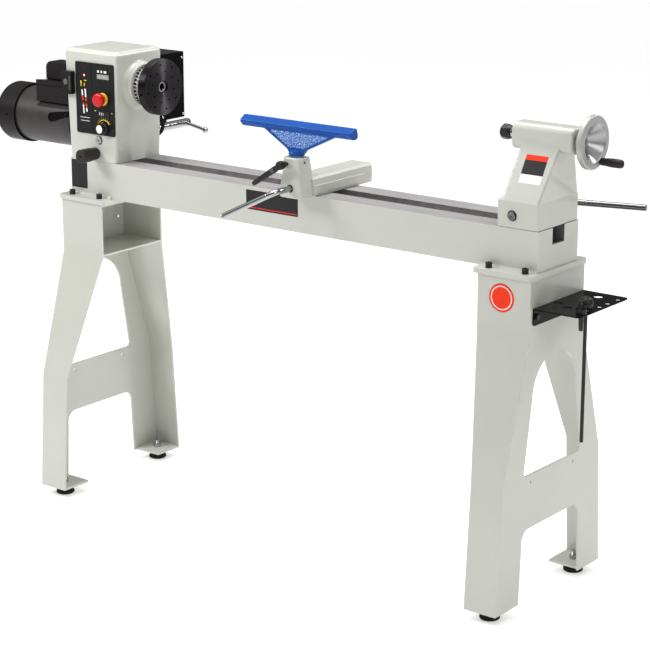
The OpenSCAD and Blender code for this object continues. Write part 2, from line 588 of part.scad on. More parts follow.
module rest_lock_lever() color(black) place() {
  cy(-168, -128, banjo_x - 12, 84, 5);
  turn_y(banjo_x - 12, -172, 84, [[0, 0], [9, 0], [11, 2], [11, 12], [9, 18], [7, 26], [0, 26]]);
  translate([banjo_x - 12, -163, 84]) rotate([0, -123, 0]) turn_z(0, 0, 0, [[0, 0], [8.5, 0], [7.5, 40], [6.5, 100], [5, 105], [0, 106]]);
}

// ---------------------------------------------------------------- tailstock
module tailstock() color(enamel) place() difference() {
  union() {
    ex(tail_x0, bed_l - 2.5) rrect(-hw, hw, 0, 65, 3);
    hull() {
      bx(tail_x0 + 9, bed_l - 2.5, -hw + 1, hw - 1, 64, 65);
      bx(1406, 1512, -28, 28, 194, 196);
    }
    ex(1377, 1542.5) rrect(-31, 31, 173, 236, 17);
  }
  // quill bore, then the thrust seat of the screw
  cx(1360, 1500, 0, centre_h, quill_r + 0.06);
  cx(1490, 1545, 0, centre_h, 8.06);
  // clamp cavity and cam shaft
  bx(cam_t[0] - 20, cam_t[0] + 20, -30, 30, -1, 52);
  cy(-hw - 1, hw + 1, cam_t[0], cam_t[1], 10.06);
  cy(-hw - 1, -hw + 3, cam_t[0], cam_t[1], 12.6);
}
module tailstock_clamp() color([0.35, 0.35, 0.36]) place() clamp_set(cam_t[0], cam_t[1], 10.6);
// cam shaft with its cap in front and its bent handle behind
module tailstock_lever() color(steel) place() {
  cy(-hw - 3, 86, cam_t[0], cam_t[1], 10);
  turn_y(cam_t[0], -hw - 5, cam_t[1], [[0, 0], [9.5, 0], [11, 1.5], [11, 7], [0, 7]]);
  translate([cam_t[0], 85, cam_t[1]]) rotate([-90, 0, 0]) bent_bar(17, 25, 74, 191, 7.5);
}
module quill() color(steel) place() difference() {
  turn_x(1362.5, 0, centre_h, [[0, 0], [12.5, 0], [quill_r, 1], [quill_r, 124.5], [12.5, 125.5], [0, 125.5]]);
  cx(1361, 1412, 0, centre_h, 7.06);
  cx(1392, 1490, 0, centre_h, 6.5);
}
module live_centre() color(black) place() {
  intersection() {
    translate([1334, 0, centre_h]) rotate([0, 90, 0]) cylinder(h = 28, r = 19.2, $fn = 6);
    turn_x(1334, 0, centre_h, [[0, 0], [14, 0], [18.5, 4.5], [18.5, 15], [14.5, 28], [0, 28]]);
  }
  cx(1361, 1390, 0, centre_h, 7);
}
module lead_screw() color(steel) place() {
  cx(1396, 1500, 0, centre_h, 6);
  cx(1500.5, 1505, 0, centre_h, 8);
  cx(1490.5, 1553, 0, centre_h, 8);
}
module handwheel() color([0.82, 0.83, 0.84]) place() difference() {
  union() {
    turn_x(1531.5, 0, centre_h, [[0, 11.5], [22, 11.5], [24, 13.5], [28, 16], [50, 37], [wheel_r - 3, 37], [wheel_r, 40], [wheel_r, 50], [wheel_r - 3, 53],
      [48, 53], [45, 50], [20, 27], [16, 24], [0, 24]]);
  }
  cx(1530, 1560, 0, centre_h, 8);
  cx(1573, 1590, grip_y, centre_h + grip_z, 4);
}
module crank_grip() color(black) place() {
  turn_x(1585, grip_y, centre_h + grip_z, [[0, 0], [7, 0], [8.5, 2], [10.3, 26], [10.3, 54], [8.5, 57.5], [0, 58]]);
  cx(1574, 1586, grip_y, centre_h + grip_z, 3.94);
}

bed();
left_leg();
right_leg();
bed_bolts();
levelling_feet();
foot_studs();
foot_nuts();
tool_rack();
rack_bolts();
knockout_bar();
drive_centre();
headstock();
end_cover();
cover_screws();
ball_bearings();
headstock_clamp();
control_panel();
speed_display();
estop_collar();
latch_housing();
control_box();
box_cover();
cable_glands();
control_cable();
drive_belt();
motor_shell();
motor_flange();
motor_bolts();
stator();
fan_cover();
terminal_box();
capacitor_cover();
spindle();
spindle_pulley();
index_ring();
faceplate();
rotor();
motor_pulley();
cooling_fan();
estop_button();
speed_knob();
direction_switch();
latch_button();
push_grip();
headstock_lever();
banjo_clamp_plate();
banjo_clamp_bolt();
banjo();
banjo_lever();
tool_post();
tool_rest();
rest_lock_lever();
tailstock();
tailstock_clamp();
tailstock_lever();
quill();
live_centre();
lead_screw();
handwheel();
crank_grip();
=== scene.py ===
import json
import math

import bmesh
import bpy
from mathutils import Matrix, Vector


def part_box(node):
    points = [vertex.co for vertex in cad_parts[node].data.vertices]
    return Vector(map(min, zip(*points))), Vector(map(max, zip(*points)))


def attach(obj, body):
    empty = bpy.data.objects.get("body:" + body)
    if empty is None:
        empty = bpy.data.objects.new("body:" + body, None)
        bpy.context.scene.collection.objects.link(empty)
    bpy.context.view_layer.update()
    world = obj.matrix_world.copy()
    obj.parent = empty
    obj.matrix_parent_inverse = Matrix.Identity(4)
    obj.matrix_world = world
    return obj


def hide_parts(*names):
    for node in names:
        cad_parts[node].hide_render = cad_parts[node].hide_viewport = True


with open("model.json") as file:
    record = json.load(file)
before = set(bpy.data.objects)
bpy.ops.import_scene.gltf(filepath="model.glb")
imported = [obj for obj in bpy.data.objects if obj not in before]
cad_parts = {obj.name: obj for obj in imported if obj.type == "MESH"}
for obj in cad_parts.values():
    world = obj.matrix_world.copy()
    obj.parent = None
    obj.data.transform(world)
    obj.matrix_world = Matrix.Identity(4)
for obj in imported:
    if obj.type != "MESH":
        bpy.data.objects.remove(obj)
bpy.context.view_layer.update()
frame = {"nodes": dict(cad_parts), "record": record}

scene = bpy.context.scene
NODES = frame["nodes"]
BODY = {n: b for b, ns in frame["record"]["behaviour"]["bodies"].items() for n in ns}
SLOT = {s["node"]: s["material_slot"] for s in frame["record"]["subparts"]}

# Lengths below are millimetres in the bed's own frame: x = 0 at the bed's left end, y = 0 at its middle, z = 0 at its top.
_lo, _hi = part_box("spindle")
OFF = Vector((_lo.x + 0.014, (_lo.y + _hi.y) / 2, (_lo.z + _hi.z) / 2 - 0.2055))
HW, CH, MZ = 87.5, 205.5, 88.0
LX0, LX1 = -7.3, 1496.6
BJ, PY = 808.0, -115.0


# ------------------------------------------------------------------ materials
def nd(t, kind, **kw):
    n = t.nodes.new(kind)
    for k, v in kw.items():
        setattr(n, k, v)
    return n


def shade(name, base, rough, metal=0.0, var=0.05, var_scale=5.0, rvar=0.05, rscale=45.0, bump=0.0, bscale=500.0,
          bdist=0.0004, stretch=(1, 1, 1), coat=0.0, coat_rough=0.1, aniso=0.0, spec=0.5, detail=4.0, fine=None, rings=None, around=None):
    """Principled material. var: colour mottling, rvar: roughness mottling, bump: fine relief; stretch pulls the relief into
    streaks; fine = (scale, strength) adds a second, finer relief; rings = (axis, centre, pitch, strength) adds turning marks;
    around names the axis that a turned surface was turned about."""
    m = bpy.data.materials.new(name)
    m.use_nodes = True
    t = m.node_tree
    b = t.nodes["Principled BSDF"]
    b.inputs["Metallic"].default_value = metal
    b.inputs["Specular IOR Level"].default_value = spec
    b.inputs["Coat Weight"].default_value = coat
    b.inputs["Coat Roughness"].default_value = coat_rough
    b.inputs["Anisotropic"].default_value = aniso
    co = nd(t, "ShaderNodeTexCoord").outputs["Object"]
    mp = nd(t, "ShaderNodeMapping")
    mp.inputs["Scale"].default_value = stretch
    t.links.new(co, mp.inputs["Vector"])
    n1 = nd(t, "ShaderNodeTexNoise")
    n1.inputs["Scale"].default_value = var_scale
    n1.inputs["Detail"].default_value = 5.0
    t.links.new(mp.outputs[0], n1.inputs["Vector"])
    rp = nd(t, "ShaderNodeValToRGB")
    lo = [max(0.0, c * (1 - var)) for c in base]
    hi = [min(1.0, c * (1 + var)) for c in base]
    rp.color_ramp.elements[0].position, rp.color_ramp.elements[1].position = 0.3, 0.7
    rp.color_ramp.elements[0].color, rp.color_ramp.elements[1].color = (*lo, 1), (*hi, 1)
    t.links.new(n1.outputs["Fac"], rp.inputs["Fac"])
    t.links.new(rp.outputs["Color"], b.inputs["Base Color"])
    n2 = nd(t, "ShaderNodeTexNoise")
    n2.inputs["Scale"].default_value = rscale
    n2.inputs["Detail"].default_value = 4.0
    t.links.new(mp.outputs[0], n2.inputs["Vector"])
    mr = nd(t, "ShaderNodeMapRange")
    mr.inputs["From Min"].default_value, mr.inputs["From Max"].default_value = 0.25, 0.75
    mr.inputs["To Min"].default_value = max(0.02, rough - rvar)
    mr.inputs["To Max"].default_value = min(1.0, rough + rvar)
    t.links.new(n2.outputs["Fac"], mr.inputs["Value"])
    t.links.new(mr.outputs["Result"], b.inputs["Roughness"])
    normal = None
    if bump:
        n3 = nd(t, "ShaderNodeTexNoise")
        n3.inputs["Scale"].default_value = bscale
        n3.inputs["Detail"].default_value = detail
        t.links.new(mp.outputs[0], n3.inputs["Vector"])
        bp = nd(t, "ShaderNodeBump")
        bp.inputs["Strength"].default_value = bump
        bp.inputs["Distance"].default_value = bdist
        t.links.new(n3.outputs["Fac"], bp.inputs["Height"])
        normal = bp
    if fine:
        n4 = nd(t, "ShaderNodeTexVoronoi")
        n4.inputs["Scale"].default_value = fine[0]
        t.links.new(mp.outputs[0], n4.inputs["Vector"])
        bp = nd(t, "ShaderNodeBump")
        bp.inputs["Strength"].default_value = fine[1]
        bp.inputs["Distance"].default_value = bdist
        t.links.new(n4.outputs["Distance"], bp.inputs["Height"])
        if normal:
            t.links.new(normal.outputs["Normal"], bp.inputs["Normal"])
        normal = bp
    if rings:
        axis, centre, pitch, strength = rings
        sh = nd(t, "ShaderNodeMapping")
        sh.inputs["Location"].default_value = [-c for c in centre]
        fl = [1, 1, 1]
        fl["xyz".index(axis)] = 0
        sh2 = nd(t, "ShaderNodeVectorMath", operation="MULTIPLY")
        sh2.inputs[1].default_value = fl
        ln = nd(t, "ShaderNodeVectorMath", operation="LENGTH")
        t.links.new(co, sh.inputs["Vector"])
        t.links.new(sh.outputs[0], sh2.inputs[0])
        t.links.new(sh2.outputs[0], ln.inputs[0])
        ml = nd(t, "ShaderNodeMath", operation="MULTIPLY")
        ml.inputs[1].default_value = 2 * math.pi / pitch
        t.links.new(ln.outputs["Value"], ml.inputs[0])
        sn = nd(t, "ShaderNodeMath", operation="SINE")
        t.links.new(ml.outputs[0], sn.inputs[0])
        bp = nd(t, "ShaderNodeBump")
        bp.inputs["Strength"].default_value = strength
        bp.inputs["Distance"].default_value = pitch * 0.15
        t.links.new(sn.outputs[0], bp.inputs["Height"])
        if normal:
            t.links.new(normal.outputs["Normal"], bp.inputs["Normal"])
        normal = bp
    if normal:
        t.links.new(normal.outputs["Normal"], b.inputs["Normal"])
    if around:
        tg = nd(t, "ShaderNodeTangent", direction_type="RADIAL", axis=around)
        t.links.new(tg.outputs[0], b.inputs["Tangent"])
        b.inputs["Anisotropic Rotation"].default_value = 0.25
    return m


def at(x, y, z):
    return Vector((x, y, z)) * 0.001 + OFF


M = {}
M["enamel"] = shade("enamel", (0.495, 0.503, 0.452), 0.34, var=0.018, var_scale=3.0, rvar=0.05, rscale=30, bump=0.10, bscale=260,
                    bdist=0.0003, coat=0.4, coat_rough=0.06, fine=(900, 0.05))
M["enamel_edge"] = M["enamel"]
M["ground"] = shade("ground_iron", (0.315, 0.30, 0.307), 0.48, metal=0.22, var=0.10, var_scale=14, rvar=0.09, rscale=60, bump=0.22,
                    bscale=240, bdist=0.0002, stretch=(0.35, 5.0, 1.0), aniso=0.3)
M["raw_iron"] = shade("raw_iron", (0.165, 0.155, 0.148), 0.62, metal=0.2, var=0.20, var_scale=30, bump=0.45, bscale=420, bdist=0.0006)
# near-black: painted shade on the walls of gaps, holes, notches and recesses, and the colour of the fan cover's screw
# heads
M["pit"] = shade("near_black_and_painted_shade", (0.0035, 0.0032, 0.0032), 0.7, spec=0.05, var=0.2, var_scale=60, bump=0.1, bscale=500, bdist=0.0002)
M["dark_strip"] = shade("dark_strip", (0.040, 0.038, 0.038), 0.5, spec=0.25, var=0.25, var_scale=120, bump=0.3, bscale=500, bdist=0.0003)
M["oxide"] = shade("black_oxide", (0.018, 0.0175, 0.019), 0.36, metal=0.25, spec=0.3, var=0.18, var_scale=60, rvar=0.08, bump=0.12, bscale=700, bdist=0.0002)
M["rubber"] = shade("rubber", (0.011, 0.011, 0.0115), 0.72, spec=0.25, var=0.2, var_scale=80, bump=0.25, bscale=900, bdist=0.0003)
M["zinc"] = shade("zinc", (0.44, 0.445, 0.455), 0.27, metal=1.0, var=0.08, var_scale=70, rvar=0.09, bump=0.10, bscale=600, bdist=0.0002)
M["rack"] = shade("rack_paint", (0.0050, 0.0042, 0.0044), 0.24, spec=0.07, var=0.12, var_scale=20, rvar=0.05, bump=0.08, bscale=420, bdist=0.0003)
M["steel"] = shade("machined_steel", (0.58, 0.58, 0.60), 0.24, metal=1.0, var=0.06, var_scale=50, rvar=0.07, bump=0.14, bscale=500,
                   bdist=0.0002, stretch=(1, 1, 1))
M["chrome"] = shade("chrome", (0.40, 0.405, 0.41), 0.09, metal=1.0, var=0.03, var_scale=30, rvar=0.04, rscale=60, bump=0.03, bscale=300, bdist=0.0002)
M["plastic"] = shade("black_plastic", (0.012, 0.0115, 0.012), 0.42, spec=0.25, var=0.14, var_scale=50, rvar=0.06, bump=0.18, bscale=1400, bdist=0.0002)
M["grip"] = shade("grip_plastic", (0.019, 0.0145, 0.014), 0.48, spec=0.28, var=0.16, var_scale=60, rvar=0.06, bump=0.22, bscale=1200, bdist=0.0002)
M["grey_plastic"] = shade("grey_plastic", (0.085, 0.083, 0.085), 0.40, var=0.06, var_scale=60, bump=0.1, bscale=1200, bdist=0.0002)
M["display"] = shade("display_window", (0.30, 0.30, 0.29), 0.16, var=0.05, var_scale=120, rvar=0.03, coat=0.6, coat_rough=0.05, bump=0.02, bscale=800)
M["yellow"] = shade("yellow_plastic", (0.83, 0.55, 0.025), 0.34, var=0.05, var_scale=60, bump=0.06, bscale=900, bdist=0.0002)
M["red"] = shade("red_plastic", (0.53, 0.006, 0.010), 0.30, spec=0.3, var=0.07, var_scale=50, rvar=0.05, bump=0.05, bscale=900, bdist=0.0002, coat=0.08)
M["black_paint"] = shade("black_paint", (0.0095, 0.0082, 0.008), 0.40, spec=0.12, var=0.12, var_scale=16, rvar=0.06, bump=0.16, bscale=650, bdist=0.0003)
M["panel"] = shade("panel_sheet", (0.010, 0.0092, 0.0096), 0.38, spec=0.14, var=0.10, var_scale=40, rvar=0.05, bump=0.06, bscale=900, bdist=0.0002)
M["black_cast"] = shade("black_cast", (0.022, 0.0185, 0.0178), 0.44, spec=0.36, var=0.16, var_scale=24, rvar=0.07, bump=0.32, bscale=420, bdist=0.0005)
M["alu"] = shade("turned_aluminium", (0.40, 0.40, 0.405), 0.38, metal=1.0, var=0.03, var_scale=40, rvar=0.03, rscale=25, aniso=0.6,
                 rings=("x", at(0, 0, CH), 0.0011, 0.02), around="X")
# painted shade: a darker copy of the chrome, used for the tailstock lever so that it reads duller than the banjo lever
M["dark_chrome"] = shade("dark_chrome", (0.15, 0.147, 0.148), 0.26, metal=1.0, var=0.05, var_scale=30, rvar=0.03, bump=0.03, bscale=500, bdist=0.0002)
M["alu_rim"] = shade("satin_aluminium", (0.40, 0.398, 0.388), 0.52, metal=0.75, var=0.03, var_scale=40, rvar=0.04, rscale=25, bump=0.05, bscale=600, bdist=0.0002)
M["alu_cast"] = shade("cast_aluminium", (0.55, 0.555, 0.56), 0.42, metal=1.0, var=0.08, var_scale=40, bump=0.25, bscale=500, bdist=0.0004)
M["faceplate"] = shade("faceplate_oxide_painted_fans", (0.125, 0.112, 0.124), 0.36, metal=0.85, spec=0.2, var=0.12, var_scale=40, rvar=0.05, bump=0.05, bscale=700,
                       bdist=0.0002, aniso=0.85, rings=("x", at(0, 0, CH), 0.0016, 0.06), around="X")
# painted highlight: the base colour is made lighter in two fans, above and below the middle, standing in for the light
# that the turned face catches
ft = M["faceplate"].node_tree
fsep = nd(ft, "ShaderNodeSeparateXYZ")
fsub = nd(ft, "ShaderNodeVectorMath", operation="SUBTRACT")
fsub.inputs[1].default_value = at(0, 0, CH)
ft.links.new(nd(ft, "ShaderNodeTexCoord").outputs["Object"], fsub.inputs[0])
ft.links.new(fsub.outputs[0], fsep.inputs[0])
fan = nd(ft, "ShaderNodeMath", operation="ARCTAN2")
ft.links.new(fsep.outputs["Z"], fan.inputs[0])
ft.links.new(fsep.outputs["Y"], fan.inputs[1])
fmr = nd(ft, "ShaderNodeMapRange")
fmr.inputs["From Min"].default_value, fmr.inputs["From Max"].default_value = -math.pi, math.pi
ft.links.new(fan.outputs[0], fmr.inputs["Value"])
fan_highlight_ramp = nd(ft, "ShaderNodeValToRGB")
fan_highlight_ramp.color_ramp.interpolation = "B_SPLINE"
for i, (pos, v) in enumerate(((0.0, 0.12), (0.205, 0.12), (0.262, 1.0), (0.32, 0.12), (0.695, 0.12), (0.752, 1.0), (0.81, 0.12), (1.0, 0.12))):
    el = fan_highlight_ramp.color_ramp.elements[i] if i < 2 else fan_highlight_ramp.color_ramp.elements.new(pos)
    el.position, el.color = pos, (v, v, v, 1)
ft.links.new(fmr.outputs["Result"], fan_highlight_ramp.inputs["Fac"])
fan_highlight_mix = nd(ft, "ShaderNodeMix", data_type="RGBA", blend_type="MULTIPLY")
fan_highlight_mix.inputs["Factor"].default_value = 1.0
fbs = ft.nodes["Principled BSDF"].inputs["Base Color"]
ft.links.new(fbs.links[0].from_socket, fan_highlight_mix.inputs["A"])
ft.links.new(fan_highlight_ramp.outputs["Color"], fan_highlight_mix.inputs["B"])
ft.links.new(fan_highlight_mix.outputs["Result"], fbs)
M["blue"] = shade("blue_paint", (0.0068, 0.066, 0.305), 0.30, spec=0.13, var=0.10, var_scale=10, rvar=0.06, bump=0.12, bscale=180, bdist=0.0006, coat=0.04,
                  coat_rough=0.10)
M["blue_rough"] = shade("blue_rough_cast_painted_glints", (0.05, 0.17, 0.52), 0.30, spec=0.2, var=0.45, var_scale=330, rvar=0.12, rscale=300, bump=0.9, bscale=420,
                        bdist=0.0016, coat=0.12, coat_rough=0.12, fine=(520, 0.5))
# painted highlight: the ramp puts near-white speckles into the blue base colour in place of glints on the rough cast;
# the relief itself comes from the bumps
glint_speckle_ramp = next(n for n in M["blue_rough"].node_tree.nodes if n.bl_idname == "ShaderNodeValToRGB").color_ramp
for el, pos, c in zip(glint_speckle_ramp.elements, (0.47, 0.69), ((0.010, 0.110, 0.46), (0.64, 0.80, 0.98))):
    el.position, el.color = pos, (*c, 1)
M["white"] = shade("white_print", (0.78, 0.78, 0.77), 0.45, var=0.03, var_scale=90, bump=0.04, bscale=900)
M["red_print"] = shade("red_print", (0.80, 0.036, 0.008), 0.42, spec=0.15, var=0.05, var_scale=90, bump=0.04, bscale=900)
M["yellow_print"] = shade("yellow_print", (0.72, 0.56, 0.02), 0.42, spec=0.2, var=0.05, var_scale=90, bump=0.04, bscale=900)
M["ring"] = shade("ring_steel", (0.55, 0.545, 0.51), 0.34, metal=0.1, var=0.06, var_scale=40, rvar=0.05, bump=0.06, bscale=500, bdist=0.0002)
M["box_cover"] = shade("box_cover", (0.0022, 0.0019, 0.0019), 0.5, spec=0.04, var=0.2, var_scale=20, bump=0.08, bscale=600, bdist=0.0002)
M["box"] = shade("box_paint", (0.012, 0.011, 0.011), 0.36, spec=0.30, var=0.15, var_scale=20, rvar=0.06, bump=0.10, bscale=650, bdist=0.0003)
M["nose"] = shade("nose_steel", (0.24, 0.235, 0.24), 0.3, metal=1.0, var=0.08, var_scale=60, rvar=0.06, bump=0.1, bscale=500, bdist=0.0002)
M["copper"] = shade("copper_winding", (0.42, 0.16, 0.06), 0.4, metal=0.7, var=0.2, var_scale=60, bump=0.4, bscale=300)
FINISH = {"enamel": "enamel", "black_oxide": "oxide", "rubber": "rubber", "zinc": "zinc", "rack_paint": "rack", "bearing_steel": "steel",
          "grey_iron": "raw_iron", "chrome": "chrome", "black_plastic": "plastic", "grey_plastic": "grey_plastic", "display": "display",
          "yellow_plastic": "yellow", "red_plastic": "red", "black_paint": "black_paint", "cast_aluminium": "alu_cast", "blue_paint": "blue"}


# ------------------------------------------------------------------ mesh tools
def fil(pts, n=5, closed=False):
    """Rounds a polyline of (a, b) or (a, b, radius) points."""
    out, k = [], len(pts)
    for i, p in enumerate(pts):
        r = p[2] if len(p) > 2 else 0.0
        if r <= 0 or (not closed and i in (0, k - 1)):
            out.append((p[0], p[1]))
            continue
        a, b, c = Vector(pts[i - 1][:2]), Vector(p[:2]), Vector(pts[(i + 1) % k][:2])
        u, v = (a - b), (c - b)
        lu, lv = u.length, v.length
        u.normalize()
        v.normalize()
        ang = math.acos(max(-1, min(1, u.dot(v))))
        if ang > math.pi - 0.02:
            out.append((p[0], p[1]))
            continue
        d = min(r / math.tan(ang / 2), 0.49 * lu, 0.49 * lv)
        rr = d * math.tan(ang / 2)
        bis = (u + v).normalized()
        cen = b + bis * (rr / math.sin(ang / 2))
        s, e = b + u * d - cen, b + v * d - cen
        t0 = math.atan2(s.y, s.x)
        dt = math.atan2(e.y, e.x) - t0
        while dt > math.pi:
            dt -= 2 * math.pi
        while dt < -math.pi:
            dt += 2 * math.pi
        for j in range(n + 1):
            w = t0 + dt * j / n
            out.append((cen.x + rr * math.cos(w), cen.y + rr * math.sin(w)))
    return out


def rrect(x0, x1, y0, y1, r, n=6):
    return fil([(x0, y0, r), (x1, y0, r), (x1, y1, r), (x0, y1, r)], n, True)


def inset(loop, d):
    """The closed outline moved inwards by d."""
    if not d:
        return list(loop)
    k = len(loop)
    area = sum(loop[i - 1][0] * loop[i][1] - loop[i][0] * loop[i - 1][1] for i in range(k))
    sg = 1 if area > 0 else -1
    out = []
    for i in range(k):
        a, b, c = Vector(loop[i - 1]), Vector(loop[i]), Vector(loop[(i + 1) % k])
        e0, e1 = b - a, c - b
        if e0.length < 1e-9 or e1.length < 1e-9:
            e0 = e1 = c - a
        e0.normalize()
        e1.normalize()
        n0, n1 = Vector((-e0.y, e0.x)) * sg, Vector((-e1.y, e1.x)) * sg
        m = n0 + n1
        if m.length < 1e-6:
            m = n0
        m.normalize()
        out.append(tuple(b + m * (d / max(0.35, m.dot(n0)))))
    return out


def loft(bm, loops, mat=0, cap0=True, cap1=True, mat0=None, mat1=None):
    rows = [[bm.verts.new(p) for p in lp] for lp in loops]
    k = len(rows[0])
    for a, b in zip(rows, rows[1:]):
        for i in range(k):
            f = bm.faces.new((a[i], a[(i + 1) % k], b[(i + 1) % k], b[i]))
            f.material_index = mat
    if cap0:
        bm.faces.new(rows[0]).material_index = mat if mat0 is None else mat0
    if cap1:
        bm.faces.new(list(reversed(rows[-1]))).material_index = mat if mat1 is None else mat1
    return rows


AX = {"x": lambda u, v, h: (h, u, v), "y": lambda u, v, h: (u, h, v), "z": lambda u, v, h: (u, v, h)}


def shrink(loop, d):
    """The closed outline scaled towards its middle by about d."""
    cx, cy = sum(p[0] for p in loop) / len(loop), sum(p[1] for p in loop) / len(loop)
    r = sum(math.hypot(p[0] - cx, p[1] - cy) for p in loop) / len(loop)
    return [(cx + (p[0] - cx) * (1 - d / r), cy + (p[1] - cy) * (1 - d / r)) for p in loop]


def prism(bm, outline, axis, h0, h1, e0=0.0, e1=0.0, n=3, mat=0, org=(0, 0, 0), inset=inset):
    """Extrudes an outline along an axis from h0 to h1 with rounded end edges e0 and e1."""
    f, o, loops = AX[axis], Vector(org), []
    if e0:
        for j in range(n):
            w = j / n * math.pi / 2
            loops.append((inset(outline, e0 * (1 - math.sin(w))), h0 + e0 * (1 - math.cos(w))))
    loops.append((outline, h0 + e0))
    loops.append((outline, h1 - e1))
    if e1:
        for j in range(n - 1, -1, -1):
            w = j / n * math.pi / 2
            loops.append((inset(outline, e1 * (1 - math.sin(w))), h1 - e1 * (1 - math.cos(w))))
    return loft(bm, [[Vector(f(u, v, h)) + o for u, v in lp] for lp, h in loops], mat)


def revolve(bm, prof, axis, org, segs=72, mat=0, closed=False, mats=None, warp=None):
    """Turns a profile of (radius, along) points about an axis through org."""
    o, rows = Vector(org), []
    for r, h in prof:
        if r < 1e-6:
            rows.append([bm.verts.new(o + Vector(AX[axis](0, 0, h)))])
        else:
            row = []
            for i in range(segs):
                w = 2 * math.pi * i / segs
                rr = warp(r, h, w) if warp else r
                row.append(bm.verts.new(o + Vector(AX[axis](rr * math.cos(w), rr * math.sin(w), h))))
            rows.append(row)
    pairs = list(zip(rows, rows[1:])) + ([(rows[-1], rows[0])] if closed else [])
    for q, (a, b) in enumerate(pairs):
        mi = mats[q] if mats else mat
        if len(a) == 1 and len(b) == 1:
            continue
        for i in range(segs):
            j = (i + 1) % segs
            if len(a) == 1:
                f = bm.faces.new((a[0], b[j], b[i]))
            elif len(b) == 1:
                f = bm.faces.new((a[i], a[j], b[0]))
            else:
                f = bm.faces.new((a[i], a[j], b[j], b[i]))
            f.material_index = mi
    if not closed:
        for row in (rows[0], rows[-1]):
            if len(row) > 1:
                bm.faces.new(row).material_index = mat


def sweep(bm, path, radius, segs=32, mat=0):
    """A round bar along path; radius is a number or a function of (arc length, angle)."""
    path = [Vector(p) for p in path]
    k = len(path)
    tang = [(path[min(i + 1, k - 1)] - path[max(i - 1, 0)]).normalized() for i in range(k)]
    up = Vector((0, 0, 1)) if abs(tang[0].z) < 0.9 else Vector((1, 0, 0))
    nrm = (up - tang[0] * up.dot(tang[0])).normalized()
    rows, s = [], 0.0
    for i in range(k):
        if i:
            s += (path[i] - path[i - 1]).length
            nrm = (nrm - tang[i] * nrm.dot(tang[i])).normalized()
        bn = tang[i].cross(nrm)
        row = []
        for j in range(segs):
            w = 2 * math.pi * j / segs
            r = radius(s, w) if callable(radius) else radius
            row.append(path[i] + (nrm * math.cos(w) + bn * math.sin(w)) * r)
        rows.append(row)
    return loft(bm, rows, mat)


def box(bm, x0, x1, y0, y1, z0, z1, r=1.0, mat=0, n=3):
    """Box with all edges rounded."""
    prism(bm, rrect(x0, x1, y0, y1, max(r * 1.35, 0.05), n), "z", z0, z1, r, r, n, mat)


def finish_mesh(bm, name, mats, sharp=32.0, metres=False):
    if not metres:
        for v in bm.verts:
            v.co = v.co * 0.001 + OFF
    bmesh.ops.recalc_face_normals(bm, faces=bm.faces)
    me = bpy.data.meshes.new(name)
    bm.to_mesh(me)
    bm.free()
    for m in mats:
        me.materials.append(M[m])
    me.polygons.foreach_set("use_smooth", [True] * len(me.polygons))
    me.set_sharp_from_angle(angle=math.radians(sharp))
    o = bpy.data.objects.new(name, me)
    scene.collection.objects.link(o)
    return o


def place(o, body, slot, *nodes):
    md = o.modifiers.new("wn", "WEIGHTED_NORMAL")
    md.keep_sharp = True
    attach(o, body)
    if nodes:
        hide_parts(*nodes)
    return o


def piece(name, bm, mats, node=None, body=None, slot=None, sharp=32.0, extra=()):
    """A finished piece that stands for a node, or an extra piece on a body."""
    mats = [mats] if isinstance(mats, str) else mats
    o = finish_mesh(bm, name, mats, sharp)
    nodes = ([node] if node else []) + list(extra)
    return place(o, body or BODY[node], slot or SLOT[node], *nodes)


def solid(bm, mats=("enamel",)):
    """A loose object from bm, used as one side of a boolean."""
    return finish_mesh(bm, "tmp", list(mats))


def combine(a, b, op):
    md = a.modifiers.new("b", "BOOLEAN")
    md.operation, md.object, md.solver = op, b, "EXACT"
    dg = bpy.context.evaluated_depsgraph_get()
    me = bpy.data.meshes.new_from_object(a.evaluated_get(dg))
    a.modifiers.clear()
    old = a.data
    a.data = me
    bpy.data.meshes.remove(old)
    bo = b.data
    bpy.data.objects.remove(b)
    bpy.data.meshes.remove(bo)
    return a


def cut(a, *makers, mats=("enamel",)):
    bm = bmesh.new()
    for mk in makers:
        mk(bm)
    return combine(a, solid(bm, mats), "DIFFERENCE")


def join(a, mk, mats=("enamel",)):
    bm = bmesh.new()
    mk(bm)
    return combine(a, solid(bm, mats), "UNION")


def settle(o, name, node, sharp=32.0, soften=0.0, segs=2, limit=28.0):
    """Turns a boolean result into the finished piece for a node: clean mesh, softened edges."""
    me = o.data
    bm = bmesh.new()
    bm.from_mesh(me)
    bmesh.ops.remove_doubles(bm, verts=bm.verts, dist=2e-6)
    bmesh.ops.dissolve_degenerate(bm, edges=bm.edges, dist=2e-6)
    if soften:
        es = [e for e in bm.edges if len(e.link_faces) == 2 and e.calc_face_angle(0) > math.radians(limit)]
        bmesh.ops.bevel(bm, geom=es, offset=soften * 0.001, offset_type="OFFSET", segments=segs, profile=0.5, affect="EDGES", clamp_overlap=True)
    bm.to_mesh(me)
    bm.free()
    me.polygons.foreach_set("use_smooth", [True] * len(me.polygons))
    me.set_sharp_from_angle(angle=math.radians(sharp))
    o.name = name
    me.name = name
    return place(o, BODY[node], SLOT[node], node)


